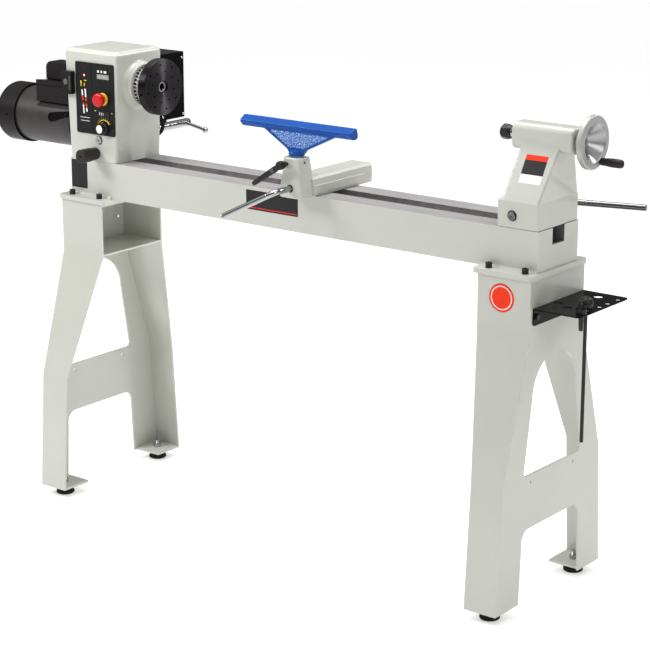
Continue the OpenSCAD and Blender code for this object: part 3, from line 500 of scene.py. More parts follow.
def refine(node, soften=0.6, segs=2, limit=30.0, mats=None, pick=None, sharp=32.0, suffix="_s"):
    """A softened copy of a node's own shape: flat faces made whole, edges rounded, and materials picked face by face."""
    bm = bmesh.new()
    bm.from_mesh(NODES[node].data)
    bmesh.ops.remove_doubles(bm, verts=bm.verts, dist=2e-6)
    bmesh.ops.dissolve_limit(bm, angle_limit=math.radians(0.6), verts=bm.verts, edges=bm.edges)
    if soften:
        es = [e for e in bm.edges if len(e.link_faces) == 2 and e.calc_face_angle(0) > math.radians(limit)]
        bmesh.ops.bevel(bm, geom=es, offset=soften * 0.001, offset_type="OFFSET", segments=segs, profile=0.5, affect="EDGES", clamp_overlap=True)
    for f in bm.faces:
        f.material_index = 0
        if pick:
            c = (f.calc_center_median() - OFF) * 1000
            f.material_index = pick(c, f.normal)
    mats = mats or [FINISH[SLOT[node]]]
    o = finish_mesh(bm, node + suffix, mats, sharp, metres=True)
    return place(o, BODY[node], SLOT[node], node)


def paint(node, mat=None):
    """A node kept as it is, with its material and smooth shading."""
    me = NODES[node].data
    me.materials.clear()
    me.materials.append(M[mat or FINISH[SLOT[node]]])
    me.polygons.foreach_set("material_index", [0] * len(me.polygons))
    me.polygons.foreach_set("use_smooth", [True] * len(me.polygons))
    me.set_sharp_from_angle(angle=math.radians(30))


def cyl(axis, h0, h1, org, r, segs=48, sink=0.0, depth=0.0, mat=0):
    """A maker for a round cutter; sink and depth give it a wider mouth at h0."""
    def mk(bm):
        prof = [(0, h0), (r + sink, h0), (r + sink, h0 + depth * 0.6), (r, h0 + depth), (r, h1), (0, h1)] if sink else [(0, h0), (r, h0), (r, h1), (0, h1)]
        revolve(bm, prof, axis, org, segs, mat)
    return mk


def thread(r0, r1, h0, h1, pitch):
    """Profile points of a threaded length."""
    out, k = [], int(abs(h1 - h0) / pitch)
    st = (h1 - h0) / k
    for i in range(k):
        out += [(r1, h0 + st * (i + 0.08)), (r0, h0 + st * (i + 0.42)), (r0, h0 + st * (i + 0.58)), (r1, h0 + st * (i + 0.92))]
    return out


def sink_socket(bm, x, y, z, r, depth):
    """Hexagon recess as a cutter, axis z, mouth at z."""
    prism(bm, [(r * math.cos(i * math.pi / 3), r * math.sin(i * math.pi / 3)) for i in range(6)], "z", z - depth, z + 1, org=(x, y, 0))


# ------------------------------------------------------------------ bed and stand
refine("bed", 1.9, 3, mats=["enamel", "ground", "raw_iron"],
       pick=lambda c, n: 1 if (c.z > -1.2 and n.z > 0.7) else 2 if (abs(c.y) < 26.7 and c.z > -71 and -1 < c.x < 1495 and abs(n.x) < 0.9) else 0)
refine("left_leg", 1.7, 3)
refine("right_leg", 1.7, 3)
refine("bed_bolts", 0.45, 2)
FEET = [(x, s * 190) for x in (LX0 + 45, LX1 - 45) for s in (-1, 1)]
bm = bmesh.new()
for x, y in FEET:
    revolve(bm, fil([(0, 0), (22.5, 0, 1.5), (25, 2.5, 1.5), (25, 6.5, 2), (20, 13.8, 1.5), (6.05, 14), (6.05, 6), (0, 6)], 4), "z", (x, y, -928), 64)
piece("levelling_feet_s", bm, "rubber", "levelling_feet", sharp=40)
bm = bmesh.new()
for x, y in FEET:
    revolve(bm, [(0, 6), (5, 6)] + thread(6, 5.3, 7, 51.5, 1.75) + [(5, 53), (0, 53)], "z", (x, y, -928), 40)
piece("foot_studs_s", bm, "zinc", "foot_studs", sharp=60)
refine("foot_nuts", 0.6, 2)
refine("tool_rack", 0.8, 2)
refine("rack_bolts", 0.5, 2)
bm = bmesh.new()
revolve(bm, [(0, -495), (3.6, -495), (4.5, -493.6), (4.5, -176.5)] +
        [(17.5 * math.sin(w), -159.5 - 17.5 * math.cos(w)) for w in [0.26 + i * (math.pi - 0.26) / 30 for i in range(30)]] + [(0, -142)], "z", (1600, -44, 0), 64)
piece("knockout_bar_s", bm, "oxide", "knockout_bar")
refine("drive_centre", 0.35, 2)

# ------------------------------------------------------------------ headstock casting
def head_loop(z, i):
    zz = min(z, 270)
    return [(x, y, z) for x, y in rrect(-12 * zz / 270 + i, 169 + 11 * zz / 270 - i, -HW + i, HW - i, 8.5, 8)]


bm = bmesh.new()
rows = [head_loop(0, 0.9), head_loop(0.9, 0)] + [head_loop(z, 0) for z in (40, 90, 140, 190, 240, 270)]
rows += [head_loop(285 + 13 * math.sin(w), 13 * (1 - math.cos(w))) for w in [i * math.pi / 20 for i in range(11)]]
loft(bm, rows)
head = solid(bm, ["enamel", "raw_iron"])


def boss(bm):
    prof = [(0, 160), (71, 160), (71, 176.9), (66.5, 177.9), (63, 179.6), (60.6, 182.4), (59, 186.2), (58, 191), (57.3, 196.4), (56.4, 199), (54.4, 200), (0, 200)]
    revolve(bm, prof, "x", (0, 0, CH), 96)
    for v in bm.verts:
        r = math.hypot(v.co.y, v.co.z - CH)
        if r > 57:
            v.co.x += 11 / 270 * (v.co.z - CH) * min(1.0, (r - 57) / 12)


head = join(head, boss)
head = cut(head, lambda b: box(b, -40, 154, -72, 72, 22, 275, 3.0))
head = cut(head, lambda b: box(b, 84, 132, -30, 30, -6, 30, 2.0), cyl("x", 174, 205, (0, 0, CH), 31, 64),
           cyl("y", -HW - 1, -70, (108, 0, 58.5), 12.1, 64), cyl("y", 70, HW + 1, (108, 0, 58.5), 12.1, 64),
           cyl("y", -HW - 1, -74, (96, 0, 21), 8.1), cyl("y", 70, HW + 1, (146, 0, 50), 7))
head = cut(head, cyl("x", 150, 176, (0, 0, CH), 24))
head = cut(head, cyl("y", -HW - 1, -HW + 10, (130, 0, 171), 9), lambda b: box(b, 109, 153, -HW - 1, -HW + 4, 121, 141, 0.3))
settle(head, "headstock_s", "headstock", soften=0.7, segs=2, limit=40)


def paint_shade_black(name, test):
    """Paints the faces of a piece that pass the test black as painted shade, such as the wall of a deep gap where shade
    falls.
    """
    me = bpy.data.objects[name].data
    me.materials.append(M["pit"])
    for f in me.polygons:
        if test((f.center - OFF) * 1000, f.normal):
            f.material_index = len(me.materials) - 1


# painted shade: the wall of the counterbore round the lever's hole is painted black
paint_shade_black("headstock_s", lambda c, n: c.y < -74 and math.hypot(c.x - 108, c.z - 58.5) < 12.6 and c.y > -88.2 and abs(n.y) < 0.6)
refine("end_cover", 0.8, 2)
refine("cover_screws", 0.35, 2, mats=["zinc", "oxide"], pick=lambda c, n: 1 if c.y < -75 else 0)
paint("ball_bearings")
refine("headstock_clamp", 0.5, 2)

# ------------------------------------------------------------------ controls
refine("control_panel", 0.7, 2, mats=["panel"])
bm = bmesh.new()
prism(bm, rrect(109, 152, 224, 236, 0.6, 3), "y", -89.9, -87.5, 0.4, 0.0, 2)
piece("speed_display_s", bm, "display", "speed_display")
bm = bmesh.new()
revolve(bm, fil([(7.1, -96.5), (15.6, -96.5, 1), (17, -95, 1), (17, -90.5, 0.2), (11, -90.5), (11, -87.5), (7.1, -87.5)], 4, True), "y", (130, 0, 171), 72, closed=True)
piece("estop_collar_s", bm, "yellow", "estop_collar")
bm = bmesh.new()
revolve(bm, fil([(0, -116.3), (9, -116.5, 5), (14.6, -115.9, 3), (17, -114.4, 3), (18.3, -110.5, 3), (18.3, -104, 1.6), (16.8, -101.6, 1.2), (11, -101.1, 0.5), (7, -101), (7, -89), (0, -89)], 5),
        "y", (130, 0, 171), 88)
piece("estop_button_s", bm, "red", "estop_button", sharp=45)
bm = bmesh.new()
revolve(bm, fil([(0, -108.85), (11.0, -108.85, 0.2), (11.5, -109, 0.3), (12.6, -108.2, 0.6), (13.4, -100, 1.5), (16, -95, 1.2), (16, -91.1, 0.4), (4.9, -91), (4.9, -87.9), (0, -87.9)], 5),
        "y", (130, 0, 92.7), 144, warp=lambda r, h, w: r * (1 - 0.035 * max(0, math.cos(18 * w)) ** 3) if -108.1 < h < -100.5 and r > 12 else r)
revolve(bm, fil([(0, -109.2), (10.6, -109.2, 0.5), (11.2, -108.7), (0, -108.7)], 3), "y", (130, 0, 92.7), 64, 1)
prism(bm, rrect(-0.9, 0.9, 12.2, 16.1, 0.3, 2), "y", -97.4, -93.5, 0.1, 0, 2, 1, (130, 0, 92.7))
piece("speed_knob_s", bm, ["plastic", "white"], "speed_knob", sharp=40)
bm = bmesh.new()
prism(bm, fil([(110.6, -89.9, 0.6), (110.6, -92.5, 0.8), (131, -93.6, 30), (151.4, -92.5, 0.8), (151.4, -89.9, 0.6), (145, -87.8), (117, -87.8)], 5, True), "z", 122.4, 139.6, 0.4, 0.4, 2)
for x, w in ((117.5, 0.7), (124.5, 1.0), (131.5, 0.7)):
    yy = -92.55 - 1.1 * (1 - abs(x - 131) / 20.4)
    prism(bm, rrect(x - w, x + w, 127.5, 135.0, 0.3, 2), "y", yy - 0.05, yy + 0.6, 0, 0, 2, 1)
piece("direction_switch_s", bm, ["plastic", "white"], "direction_switch")
bm = bmesh.new()
prism(bm, rrect(-12, 24.5, 174.5, 236.5, 3.4, 6), "y", -102.5, -HW, 1.4, 0, 4)
lb = solid(bm, ["black_paint"])
lb = cut(lb, cyl("y", -103.6, -90, (5.5, 0, 208), 8.1, 48), *[(lambda b, zz=zz: box(b, -9.5, 22, -103.5, -101.9, zz - 0.5, zz + 0.5, 0.2)) for zz in (183, 228)])
settle(lb, "latch_housing_s", "latch_housing", soften=0.0)
bm = bmesh.new()
revolve(bm, fil([(0, -105.5), (4.6, -105.6, 2), (6.6, -106, 0.6), (8, -104.8, 0.8), (8, -93.5), (0, -93.5)], 4), "y", (5.5, 0, 208), 56)
piece("latch_button_s", bm, "grey_plastic", "latch_button")
bm = bmesh.new()
prism(bm, rrect(15.2, 22.6, 186, 225, 1.2, 4), "y", -103.0, -102.3, 0.3, 0, 2)
piece("latch_strip", bm, "dark_strip", None, "headstock", "black_paint")
bm = bmesh.new()
revolve(bm, fil([(0, -146), (3, -146), (3.2, -149, 0.4), (16.6, -149, 1.6), (18.5, -147, 1.6), (18.5, -118, 20), (16.5, -91, 3), (15.5, -88.05, 1.2), (8, -88), (8, -75), (0, -75)], 5),
        "y", (96, 0, 21), 80)
piece("push_grip_s", bm, "grip", "push_grip")
bm = bmesh.new()
revolve(bm, fil([(0, -88.6), (2.6, -88.8), (3.4, -91.2, 0.4), (9.6, -91.5, 0.8), (10.5, -90.5, 0.8), (10.5, -84), (12, -83.9), (12, 266, 1), (11, 271.6, 1.5), (0, 272)], 4), "y", (108, 0, 58.5), 72)
dv = Vector((math.sin(math.radians(100)), 0, math.cos(math.radians(100))))
ss = [0, 20, 40, 60, 67, 68.2] + [68.9 + 15.6 * (0.5 - 0.5 * math.cos(i / 16 * math.pi)) for i in range(17)]
sweep(bm, [Vector((108, 258, 58.5)) + dv * s for s in ss],
      lambda s, w: 5.2 if s < 68.5 else max(0.3, math.sqrt(max(0.0, 8.5 ** 2 - (s - 76) ** 2))), 40)
piece("headstock_lever_s", bm, "chrome", "headstock_lever", sharp=40)

# ------------------------------------------------------------------ electronics box
refine("control_box", 1.6, 3, mats=["box"])
refine("box_cover", 0.6, 2, mats=["box_cover"])
refine("cable_glands", 0.5, 2)
paint("control_cable")
paint("drive_belt")

# ------------------------------------------------------------------ motor
bm = bmesh.new()
revolve(bm, fil([(76, -230, 2.5), (76, -36, 0.8), (70, -36), (70, -211), (21, -211), (21, -223), (11, -223), (11, -230)], 4, True), "x", (0, 0, MZ), 128, closed=True)
sh = solid(bm, ["black_cast", "pit"])


def pocket(b):
    """Tapered pocket in the side of the motor, turned up from the level."""
    al = math.asin((13 - 7) / math.hypot(73, 16.9))
    ax = math.atan2(16.9, 73)
    lp = [(-83 + 13 * math.cos(w), -8.9 + 13 * math.sin(w)) for w in [ax + math.pi / 2 - al + (math.pi + 2 * al) * i / 24 for i in range(25)]]
    lp += [(-10 + 7 * math.cos(w), 8 + 7 * math.sin(w)) for w in [ax - math.pi / 2 + al + (math.pi - 2 * al) * i / 12 for i in range(13)]]
    # the pocket's walls take material 1, the near-black painted shade
    prism(b, lp, "y", -80, -71.6, mat=1)
    for v in b.verts:
        y, z = v.co.y, v.co.z
        c, q = math.cos(math.radians(-15)), math.sin(math.radians(-15))
        v.co.y, v.co.z = y * c - z * q, y * q + z * c + MZ


sh = cut(sh, pocket, mats=("black_cast", "pit"))
settle(sh, "motor_shell_s", "motor_shell", soften=0.9, segs=2, limit=40)
bm = bmesh.new()
revolve(bm, fil([(76, -36, 0.8), (76, -18, 3), (72, -14, 2), (58, -14, 1), (58, 2, 0.6), (14, 2), (14, -8), (21, -8), (21, -20), (60, -20), (60, -36)], 4, True), "x", (0, 0, MZ), 128,
        closed=True)
mf = solid(bm, ["black_cast", "pit"])
mf = cut(mf, pocket, mats=("black_cast", "pit"))
settle(mf, "motor_flange_s", "motor_flange", soften=0.0)
refine("motor_bolts", 0.4, 2)
paint("stator", "copper")
bm = bmesh.new()
revolve(bm, fil([(0, -296), (72, -296, 6), (79, -293, 6), (82, -286, 6), (82, -223, 0.8), (80.9, -223), (80.9, -226), (76.05, -226.5), (76.05, -230), (79.5, -230), (79.5, -285, 3),
                 (70, -292, 3), (0, -292)], 5), "x", (0, 0, MZ), 128)
fc = solid(bm, ["black_paint"])


def vent(r, i):
    def mk(b):
        mid, half = math.radians(i * 45 + r), min(0.30, (5 + r / 12) / r)
        pts = [((r + 6) * math.cos(mid + half * t / 4), (r + 6) * math.sin(mid + half * t / 4)) for t in range(-4, 5)]
        pts += [(r * math.cos(mid + half * t / 4), r * math.sin(mid + half * t / 4)) for t in range(4, -5, -1)]
        prism(b, pts, "x", -300, -290, org=(0, 0, MZ))
    return mk


fc = cut(fc, *[vent(r, i) for r in (16, 29, 42, 55) for i in range(8)])
settle(fc, "fan_cover_s", "fan_cover", soften=0.0)
# painted shade: the faces in the gap between the fan cover's mouth and the shell are painted near-black
me = bpy.data.objects["fan_cover_s"].data
me.materials.append(M["pit"])
for f in me.polygons:
    c = (f.center - OFF) * 1000
    if -227.5 < c.x < -222.5 and math.hypot(c.y, c.z - MZ) < 81.6:
        f.material_index = 1
bm = bmesh.new()
for a in (-88, 32, 152):
    w = math.radians(a)
    d = Vector((0, math.sin(w), math.cos(w)))
    t = Vector((0, math.cos(w), -math.sin(w)))
    o = Vector((-250, 0, MZ))
    rows = []
    for r, h in ((1.6, 81.2), (3.4, 81.2), (3.4, 82.8), (2.6, 83.6), (0.9, 83.8)):
        rows.append([o + d * h + Vector((r * math.cos(2 * math.pi * k / 24), 0, 0)) + t * (r * math.sin(2 * math.pi * k / 24)) for k in range(24)])
    loft(bm, rows)
piece("fan_cover_screws", bm, "pit", None, "headstock", "zinc")
bm = bmesh.new()
plan = [(-146.1, -64.6, 2), (-144.9, -67.6, 2), (-14.4, -67.6, 2), (-14.4, -2.4, 2), (-124.1, -2.4, 2), (-124.1, -48.8, 4)]
prism(bm, fil(plan, 4, True), "z", 116, 182, 0, 0.6, 2)
prism(bm, inset(fil(plan, 4, True), 2.0), "z", 181, 186)
prism(bm, fil([(-146.5, -65, 3), (-145.5, -68, 3), (-14, -68, 3), (-14, -2, 3), (-124.5, -2, 3), (-124.5, -49, 5)], 5, True), "z", 183.4, 196, 0.5, 1.6, 3)
tb = solid(bm, ["black_paint"])
md = tb.modifiers.new("u", "BOOLEAN")
cb = bmesh.new()
cyl("x", -200, 60, (0, 0, MZ), 76.05, 128)(cb)
box(cb, -200, 60, -200, -40, 60, 138, 0.02)
cobj = solid(cb, ["black_paint"])
md.operation, md.object, md.solver, md.use_self = "DIFFERENCE", cobj, "EXACT", True
me2 = bpy.data.meshes.new_from_object(tb.evaluated_get(bpy.context.evaluated_depsgraph_get()))
tb.modifiers.clear()
tb.data = me2
bpy.data.objects.remove(cobj)
settle(tb, "terminal_box_s", "terminal_box", soften=0.0)
bm = bmesh.new()
prism(bm, fil([(-126.5, 196.2), (-18, 196.2), (-18, 247, 20), (-126.5, 247, 20)], 12, True), "y", -48, -2, 4.0, 4.0, 5)
piece("capacitor_cover_s", bm, "black_paint", "capacitor_cover")
paint("rotor")
paint("motor_pulley")
paint("cooling_fan")

# ------------------------------------------------------------------ spindle and faceplate
bm = bmesh.new()
revolve(bm, fil([(14, -14, 0.5), (15, -13, 0.5), (15, 198), (24, 198, 0.5), (24, 208), (16.5, 208), (16.5, 256.8, 0.8), (14.2, 260, 0.8), (9.6, 260, 0.4), (9, 259, 0.4), (9, 205), (5, 205), (5, -14)],
                4, True), "x", (0, 0, CH), 72, closed=True)
piece("spindle_s", bm, "nose", "spindle")
paint("spindle_pulley")
# painted shade: the walls of the ring's notches are painted near-black
refine("index_ring", 0.5, 2, mats=["ring", "pit"], pick=lambda c, n: 1 if 56.2 < math.hypot(c.y, c.z - CH) < 61.4 and abs(n.x) < 0.5 else 0)
bm = bmesh.new()
revolve(bm, fil([(16.5, 222), (28, 222, 0.8), (28, 241, 1.5), (74, 241, 1), (75, 242, 0.6), (75, 263.8, 0.8), (73.8, 265, 0.8), (18.5, 265, 0.8), (16.5, 263.5, 0.5)], 4, True), "x", (0, 0, CH), 144,
        closed=True)
fp = solid(bm, ["faceplate"])
holes = []
for i in range(8):
    for pr, r, a0 in ((60, 3.0, 10), (42, 2.5, 32)):
        a = math.radians(i * 45 + a0)
        holes.append((pr * math.cos(a), pr * math.sin(a), r))


def plate_hole(y, z, r):
    return lambda b: revolve(b, [(0, 220), (r, 220), (r, 264.2), (r + 1.0, 265.2), (r + 1.0, 268), (0, 268)], "x", (0, y, CH + z), 40)


fp = cut(fp, *[plate_hole(*h) for h in holes])


def tommy(b):
    revolve(b, [(0, 0), (4, 0), (4, 60), (0, 60)], "z", (0, 0, 30), 40)
    mt = Matrix.Translation((253, 0, CH)) @ Matrix.Rotation(math.radians(100), 4, "X")
    for v in b.verts:
        v.co = mt @ v.co


fp = cut(fp, tommy)
settle(fp, "faceplate_s", "faceplate", soften=0.0)

# ------------------------------------------------------------------ banjo and tool rest
refine("banjo_clamp_plate", 0.5, 2)
refine("banjo_clamp_bolt", 0.4, 2)
bm = bmesh.new()
prism(bm, fil([(BJ - 37, 0, 3.2), (BJ + 38, 0, 2.4), (BJ + 39, 24, 5), (BJ + 37.5, 44, 3.0), (BJ + 32, 50, 2.2), (BJ - 25, 50, 4), (BJ - 35, 40, 4), (BJ - 39, 24, 5)], 5, True), "y", -100, 145, 0, 2.2, 4)
bj = solid(bm, ["enamel", "raw_iron"])


def post(b):
    lv = [(0, 0), (1.5, 0), (14, 0), (30, 0.186), (50, 0.42), (72, 0.674), (92, 0.907), (97.6, 0.97), (99.3, 0.99), (100, 1.0)]
    extra = {0: 1.5, 97.6: 0.4, 99.3: 1.4, 100: 3.0}
    loops = []
    for z, t in lv:
        e = extra.get(z, 0)
        x, y0, y1 = 37 - 8 * t - e, -143 + 4 * t + e, -84 - 7 * t - e
        loops.append([(BJ + p, q, z) for p, q in rrect(-x, x, y0, y1, 12 + 2 * t - e * 0.4, 8)])
    loft(b, loops)


bj = join(bj, lambda b: box(b, BJ - 41, BJ + 41, -95, 112, 6, 28.5, 1.6))
bj = join(bj, post)
bj = cut(bj, lambda b: box(b, BJ - 18.5, BJ + 18.5, -76, 100, -5, 42.5, 2.0))
bj = cut(bj, cyl("y", -150, 120, (BJ, 0, 24), 10.1, 64), cyl("z", 36, 106, (BJ, PY, 0), 12.8, 64))
bj = cut(bj, cyl("y", -150, PY, (BJ - 12, 0, 84), 5.1), cyl("x", BJ + 10, BJ + 60, (0, -121, 89), 3.8))
settle(bj, "banjo_s", "banjo", soften=1.0, segs=3, limit=38)


def bent(start, along, side, a, rb, bend, end, step=0.8):
    """Centre line of a bar: straight a, bend of radius rb towards side, straight end."""
    start, along, side = Vector(start), Vector(along), Vector(side)
    pts = [start + along * (a * i / 6) for i in range(7)]
    c = start + along * a + side * rb
    b = math.radians(bend)
    pts += [c - side * rb * math.cos(b * i / 24) + along * rb * math.sin(b * i / 24) for i in range(1, 25)]
    d = side * math.sin(b) + along * math.cos(b)
    p = pts[-1]
    k = int(end / step)
    pts += [p + d * (end * i / k) for i in range(1, k + 1)]
    return pts, a + rb * b


def bar_radius(r, total, k0, k1, knurl=True):
    def f(s, w):
        q = r
        e = total - s
        if e < 2.0:
            q = r - 2.0 + math.sqrt(max(0.0, 4.0 - (2.0 - e) ** 2))
        if knurl and k0 < s < k1:
            q -= 0.28 - 0.28 * math.cos(9 * w + 1.75 * s) * math.cos(9 * w - 1.75 * s)
        elif knurl and (k0 - 2.5 < s <= k0):
            q -= 0.35
        return q
    return f


bm = bmesh.new()
revolve(bm, fil([(0, -121), (8.8, -121, 0.8), (10, -120, 0.8), (10, 118, 1), (0, 118)], 4), "y", (BJ, 0, 24), 64)
pts, s0 = bent((BJ, -118, 24), (0, -1, 0), (-math.cos(math.radians(30)), 0, -0.5), 66, 30, 60, 128)
tot = s0 + 128
sweep(bm, pts, bar_radius(7.5, tot, s0 + 8, tot - 3.5), 64)
piece("banjo_lever_s", bm, "chrome", "banjo_lever", sharp=50)
bm = bmesh.new()
revolve(bm, fil([(0, 38), (11.7, 38, 0.5), (12.7, 39, 0.5), (12.7, 116.4, 0.5), (12, 117, 0.3), (0, 117)], 4), "z", (BJ, PY, 0), 64)
piece("tool_post_s", bm, "steel", "tool_post")

bm = bmesh.new()
bar = fil([(-105, 187, 2), (-109, 187, 3), (-124, 176.5, 4), (-125, 171, 3), (-121.5, 166.5, 6), (-115, 160, 5), (-104, 158, 6), (-96.5, 160.5, 5), (-94, 168, 5), (-99, 186, 2)], 4, True)
prism(bm, bar, "x", BJ - 175, BJ + 175, 4.5, 4.5, 5, inset=shrink)
tr = solid(bm, ["blue", "blue_rough"])
web = fil([(BJ - 112, 170), (BJ + 138, 170), (BJ + 122, 161.5, 8), (BJ + 30, 118, 14), (BJ + 16.5, 104), (BJ - 16.5, 104), (BJ - 26, 118, 14), (BJ - 99, 161.5, 6)], 6, True)
dish = fil([(BJ - 91, 161.5, 3), (BJ + 112, 161.5, 3), (BJ + 24, 120.5, 8), (BJ - 23, 120.5, 8)], 6, True)


def web_maker(b):
    prism(b, web, "y", PY - 7, PY + 10, 2.0, 2.0, 4)


def dish_maker(front):
    def mk(b):
        lo = [(inset(dish, -1.5), PY - 9), (inset(dish, -0.6), PY - 7.3), (dish, PY - 6.2), (inset(dish, 1.2), PY - 4.2)] if front else \
             [(inset(dish, -1.5), PY + 12), (inset(dish, -0.6), PY + 10.3), (dish, PY + 9.2), (inset(dish, 1.2), PY + 7.2)]
        loft(b, [[(x, h, z) for x, z in lp] for lp, h in lo], 0, mat1=1)
    return mk


tr = join(tr, web_maker, ["blue", "blue_rough"])
tr = join(tr, lambda b: revolve(b, fil([(0, 103), (18.6, 103, 1), (20, 104.5, 1.2), (20, 110, 3), (17.6, 114.5, 4), (14, 118.6, 2), (0, 119)], 5), "z", (BJ, PY, 0), 64), ["blue", "blue_rough"])
tr = cut(tr, dish_maker(True), dish_maker(False), mats=["blue", "blue_rough"])
tr = cut(tr, cyl("z", 95, 117.2, (BJ, PY, 0), 12.8, 64))
settle(tr, "tool_rest_s", "tool_rest", soften=0.9, segs=2, limit=36)

bm = bmesh.new()
revolve(bm, fil([(0, -171.4), (5, -171.6), (5.6, -172), (9, -172, 0.6), (11, -170, 1.0), (11, -159, 1.5), (9.5, -154, 1.5), (7.2, -146.2, 0.5), (5, -146), (5, -128), (0, -128)], 4), "y",
        (BJ - 12, 0, 84), 72, warp=lambda r, h, w: r * (1 - 0.07 * (0.5 + 0.5 * math.cos(12 * w))) if r > 8.9 and h > -171 and h < -153 else r)
th = math.radians(-123)
dv = Vector((math.sin(th), 0, math.cos(th)))
sd = Vector((-dv.z, 0, dv.x))
loops = []
for s, a, b in [(3, 6.8, 6.6), (14, 7.2, 6.6), (24, 7.6, 6.6), (40, 7.2, 6.4), (70, 6.6, 6.0), (95, 6.0, 5.6), (102, 5.5, 5.1), (104.8, 4.4, 4.0), (106, 2.4, 2.2)]:
    c = Vector((BJ - 12, -163, 84)) + dv * s
    loops.append([c + sd * p + Vector((0, q, 0)) for p, q in rrect(-a, a, -b, b, min(a, b) * 0.62, 5)])
loft(bm, loops)
bc = Vector((BJ - 12, 0, 84)) + dv * 27
revolve(bm, fil([(0, -171.2), (2.2, -171.3, 0.5), (3.0, -170.9, 0.4), (4.6, -171.3, 0.5), (5.2, -170, 0.3), (5.2, -166), (0, -166)], 3), "y", bc, 40, 1)
piece("rest_lock_lever_s", bm, ["plastic", "grey_plastic"], "rest_lock_lever", sharp=36)

# ------------------------------------------------------------------ tailstock
bm = bmesh.new()
prism(bm, rrect(-HW, HW, 0, 65, 3.0, 4), "x", 1381, 1491.5, 1.8, 1.8, 3)
ts = solid(bm, ["enamel", "raw_iron"])


def column(b):
    loops = []
    for z, t in [(58, 0), (65, 0), (80, 0.115), (120, 0.42), (160, 0.725), (196, 1.0), (206, 1.0)]:
        loops.append([(x, y, z) for x, y in rrect(1390 + 16 * t, 1491.5 + 20.5 * t, -86.5 + 58 * t, 86.5 - 58 * t, 5.5, 6)])
    loft(b, loops)


ts = join(ts, column)
ts = join(ts, lambda b: prism(b, rrect(-31, 31, 173, 236, 17, 12), "x", 1377, 1542.5, 5.0, 5.0, 5))
ts = cut(ts, cyl("x", 1360, 1491, (0, 0, CH), 13.6, 64), lambda b: box(b, 1401, 1441, -30, 30, -6, 52, 2.0))
ts = cut(ts, cyl("x", 1489, 1550, (0, 0, CH), 8.1), cyl("y", -HW - 1, -29, (1421, 0, 29.4), 10.1, 64, 2.7, 5.0), cyl("y", 29, HW + 1, (1421, 0, 29.4), 10.1, 64))
settle(ts, "tailstock_s", "tailstock", soften=1.6, segs=3, limit=38)
# painted shade: the counterbore round the lever's hole is painted black
paint_shade_black("tailstock_s", lambda c, n: -87.2 < c.y < -60 and math.hypot(c.x - 1421, c.z - 29.4) < 13.4)
refine("tailstock_clamp", 0.5, 2)
bm = bmesh.new()
revolve(bm, fil([(0, -89.6), (1.8, -89.8), (2.6, -92, 0.4), (9.4, -92.5, 1.0), (11, -91, 1.0), (11, -85.6), (10, -85.5), (10, 86, 1), (0, 86)], 4), "y", (1421, 0, 29.4), 72)
pts, s0 = bent((1421, 85, 29.4), (0, 1, 0), (1, 0, 0), 17, 25, 74, 192)
tot = s0 + 192
sweep(bm, pts, bar_radius(7.5, tot, tot - 100, tot - 3.5, False), 64)
piece("tailstock_lever_s", bm, "dark_chrome", "tailstock_lever", sharp=50)
bm = bmesh.new()
revolve(bm, fil([(7.1, 1362.5), (12.5, 1362.5, 0.5), (13.5, 1363.5, 0.5), (13.5, 1487, 0.5), (12.5, 1488, 0.5), (6.5, 1488), (6.5, 1412), (7.1, 1411.9)], 4, True), "x", (0, 0, CH), 72, closed=True)
piece("quill_s", bm, "chrome", "quill")
refine("live_centre", 0.5, 2)
bm = bmesh.new()
revolve(bm, [(0, 1396), (5, 1396)] + thread(6, 5.0, 1397, 1490, 5.0) + fil([(8, 1490.5), (8, 1552.4, 0.5), (7.2, 1553, 0.3), (5.2, 1553), (5, 1545), (0, 1545)], 4), "x", (0, 0, CH), 64)
piece("lead_screw_s", bm, "oxide", "lead_screw", sharp=50)
bm = bmesh.new()
X0 = 1531.5
revolve(bm, fil([(8.05, X0 + 11.5), (22, X0 + 11.5, 1.0), (24, X0 + 13.5, 2), (28, X0 + 16, 5), (50, X0 + 37, 6), (60, X0 + 37, 2.5), (63, X0 + 40, 2.5), (63, X0 + 50, 2.5), (60, X0 + 53, 2.5), (47, X0 + 53, 0.8),
                 (45, X0 + 50, 1.6), (20, X0 + 27, 3), (16, X0 + 24, 2), (8.05, X0 + 24)], 5, True), "x", (0, 0, CH), 128, closed=True)
for f in bm.faces:
    c = f.calc_center_median()
    f.material_index = 1 if math.hypot(c.y, c.z - CH) > 46.6 else 0
piece("handwheel_s", bm, ["alu", "alu_rim"], "handwheel", sharp=38)
bm = bmesh.new()
revolve(bm, fil([(0, 1574), (3.94, 1574), (3.94, 1585), (7, 1585, 0.8), (8.6, 1587, 2), (8.8, 1596, 8), (10.3, 1612, 14), (10.3, 1636, 6), (9.0, 1641.6, 2.5), (5.0, 1643, 0.5), (4.2, 1641), (0, 1641)], 6), "x",
        (0, 25, CH - 46.5), 64)
piece("crank_grip_s", bm, "grip", "crank_grip")

# ------------------------------------------------------------------ plain plates and prints where the machine carries its labels
def plate(name, mat, body, slot, outline, axis, h0, h1, e=0.15, r=None, more=()):
    bm = bmesh.new()
    prism(bm, outline, axis, h0, h1, e, 0, 2)
    for ol, a0, a1, mi in more:
        prism(bm, ol, axis, a0, a1, 0, 0, 2, mi)
    return piece(name, bm, mat, None, body, slot)


def ring(r, n=64, c=(0, 0)):
    return [(c[0] + r * math.cos(2 * math.pi * i / n), c[1] + r * math.sin(2 * math.pi * i / n)) for i in range(n)]


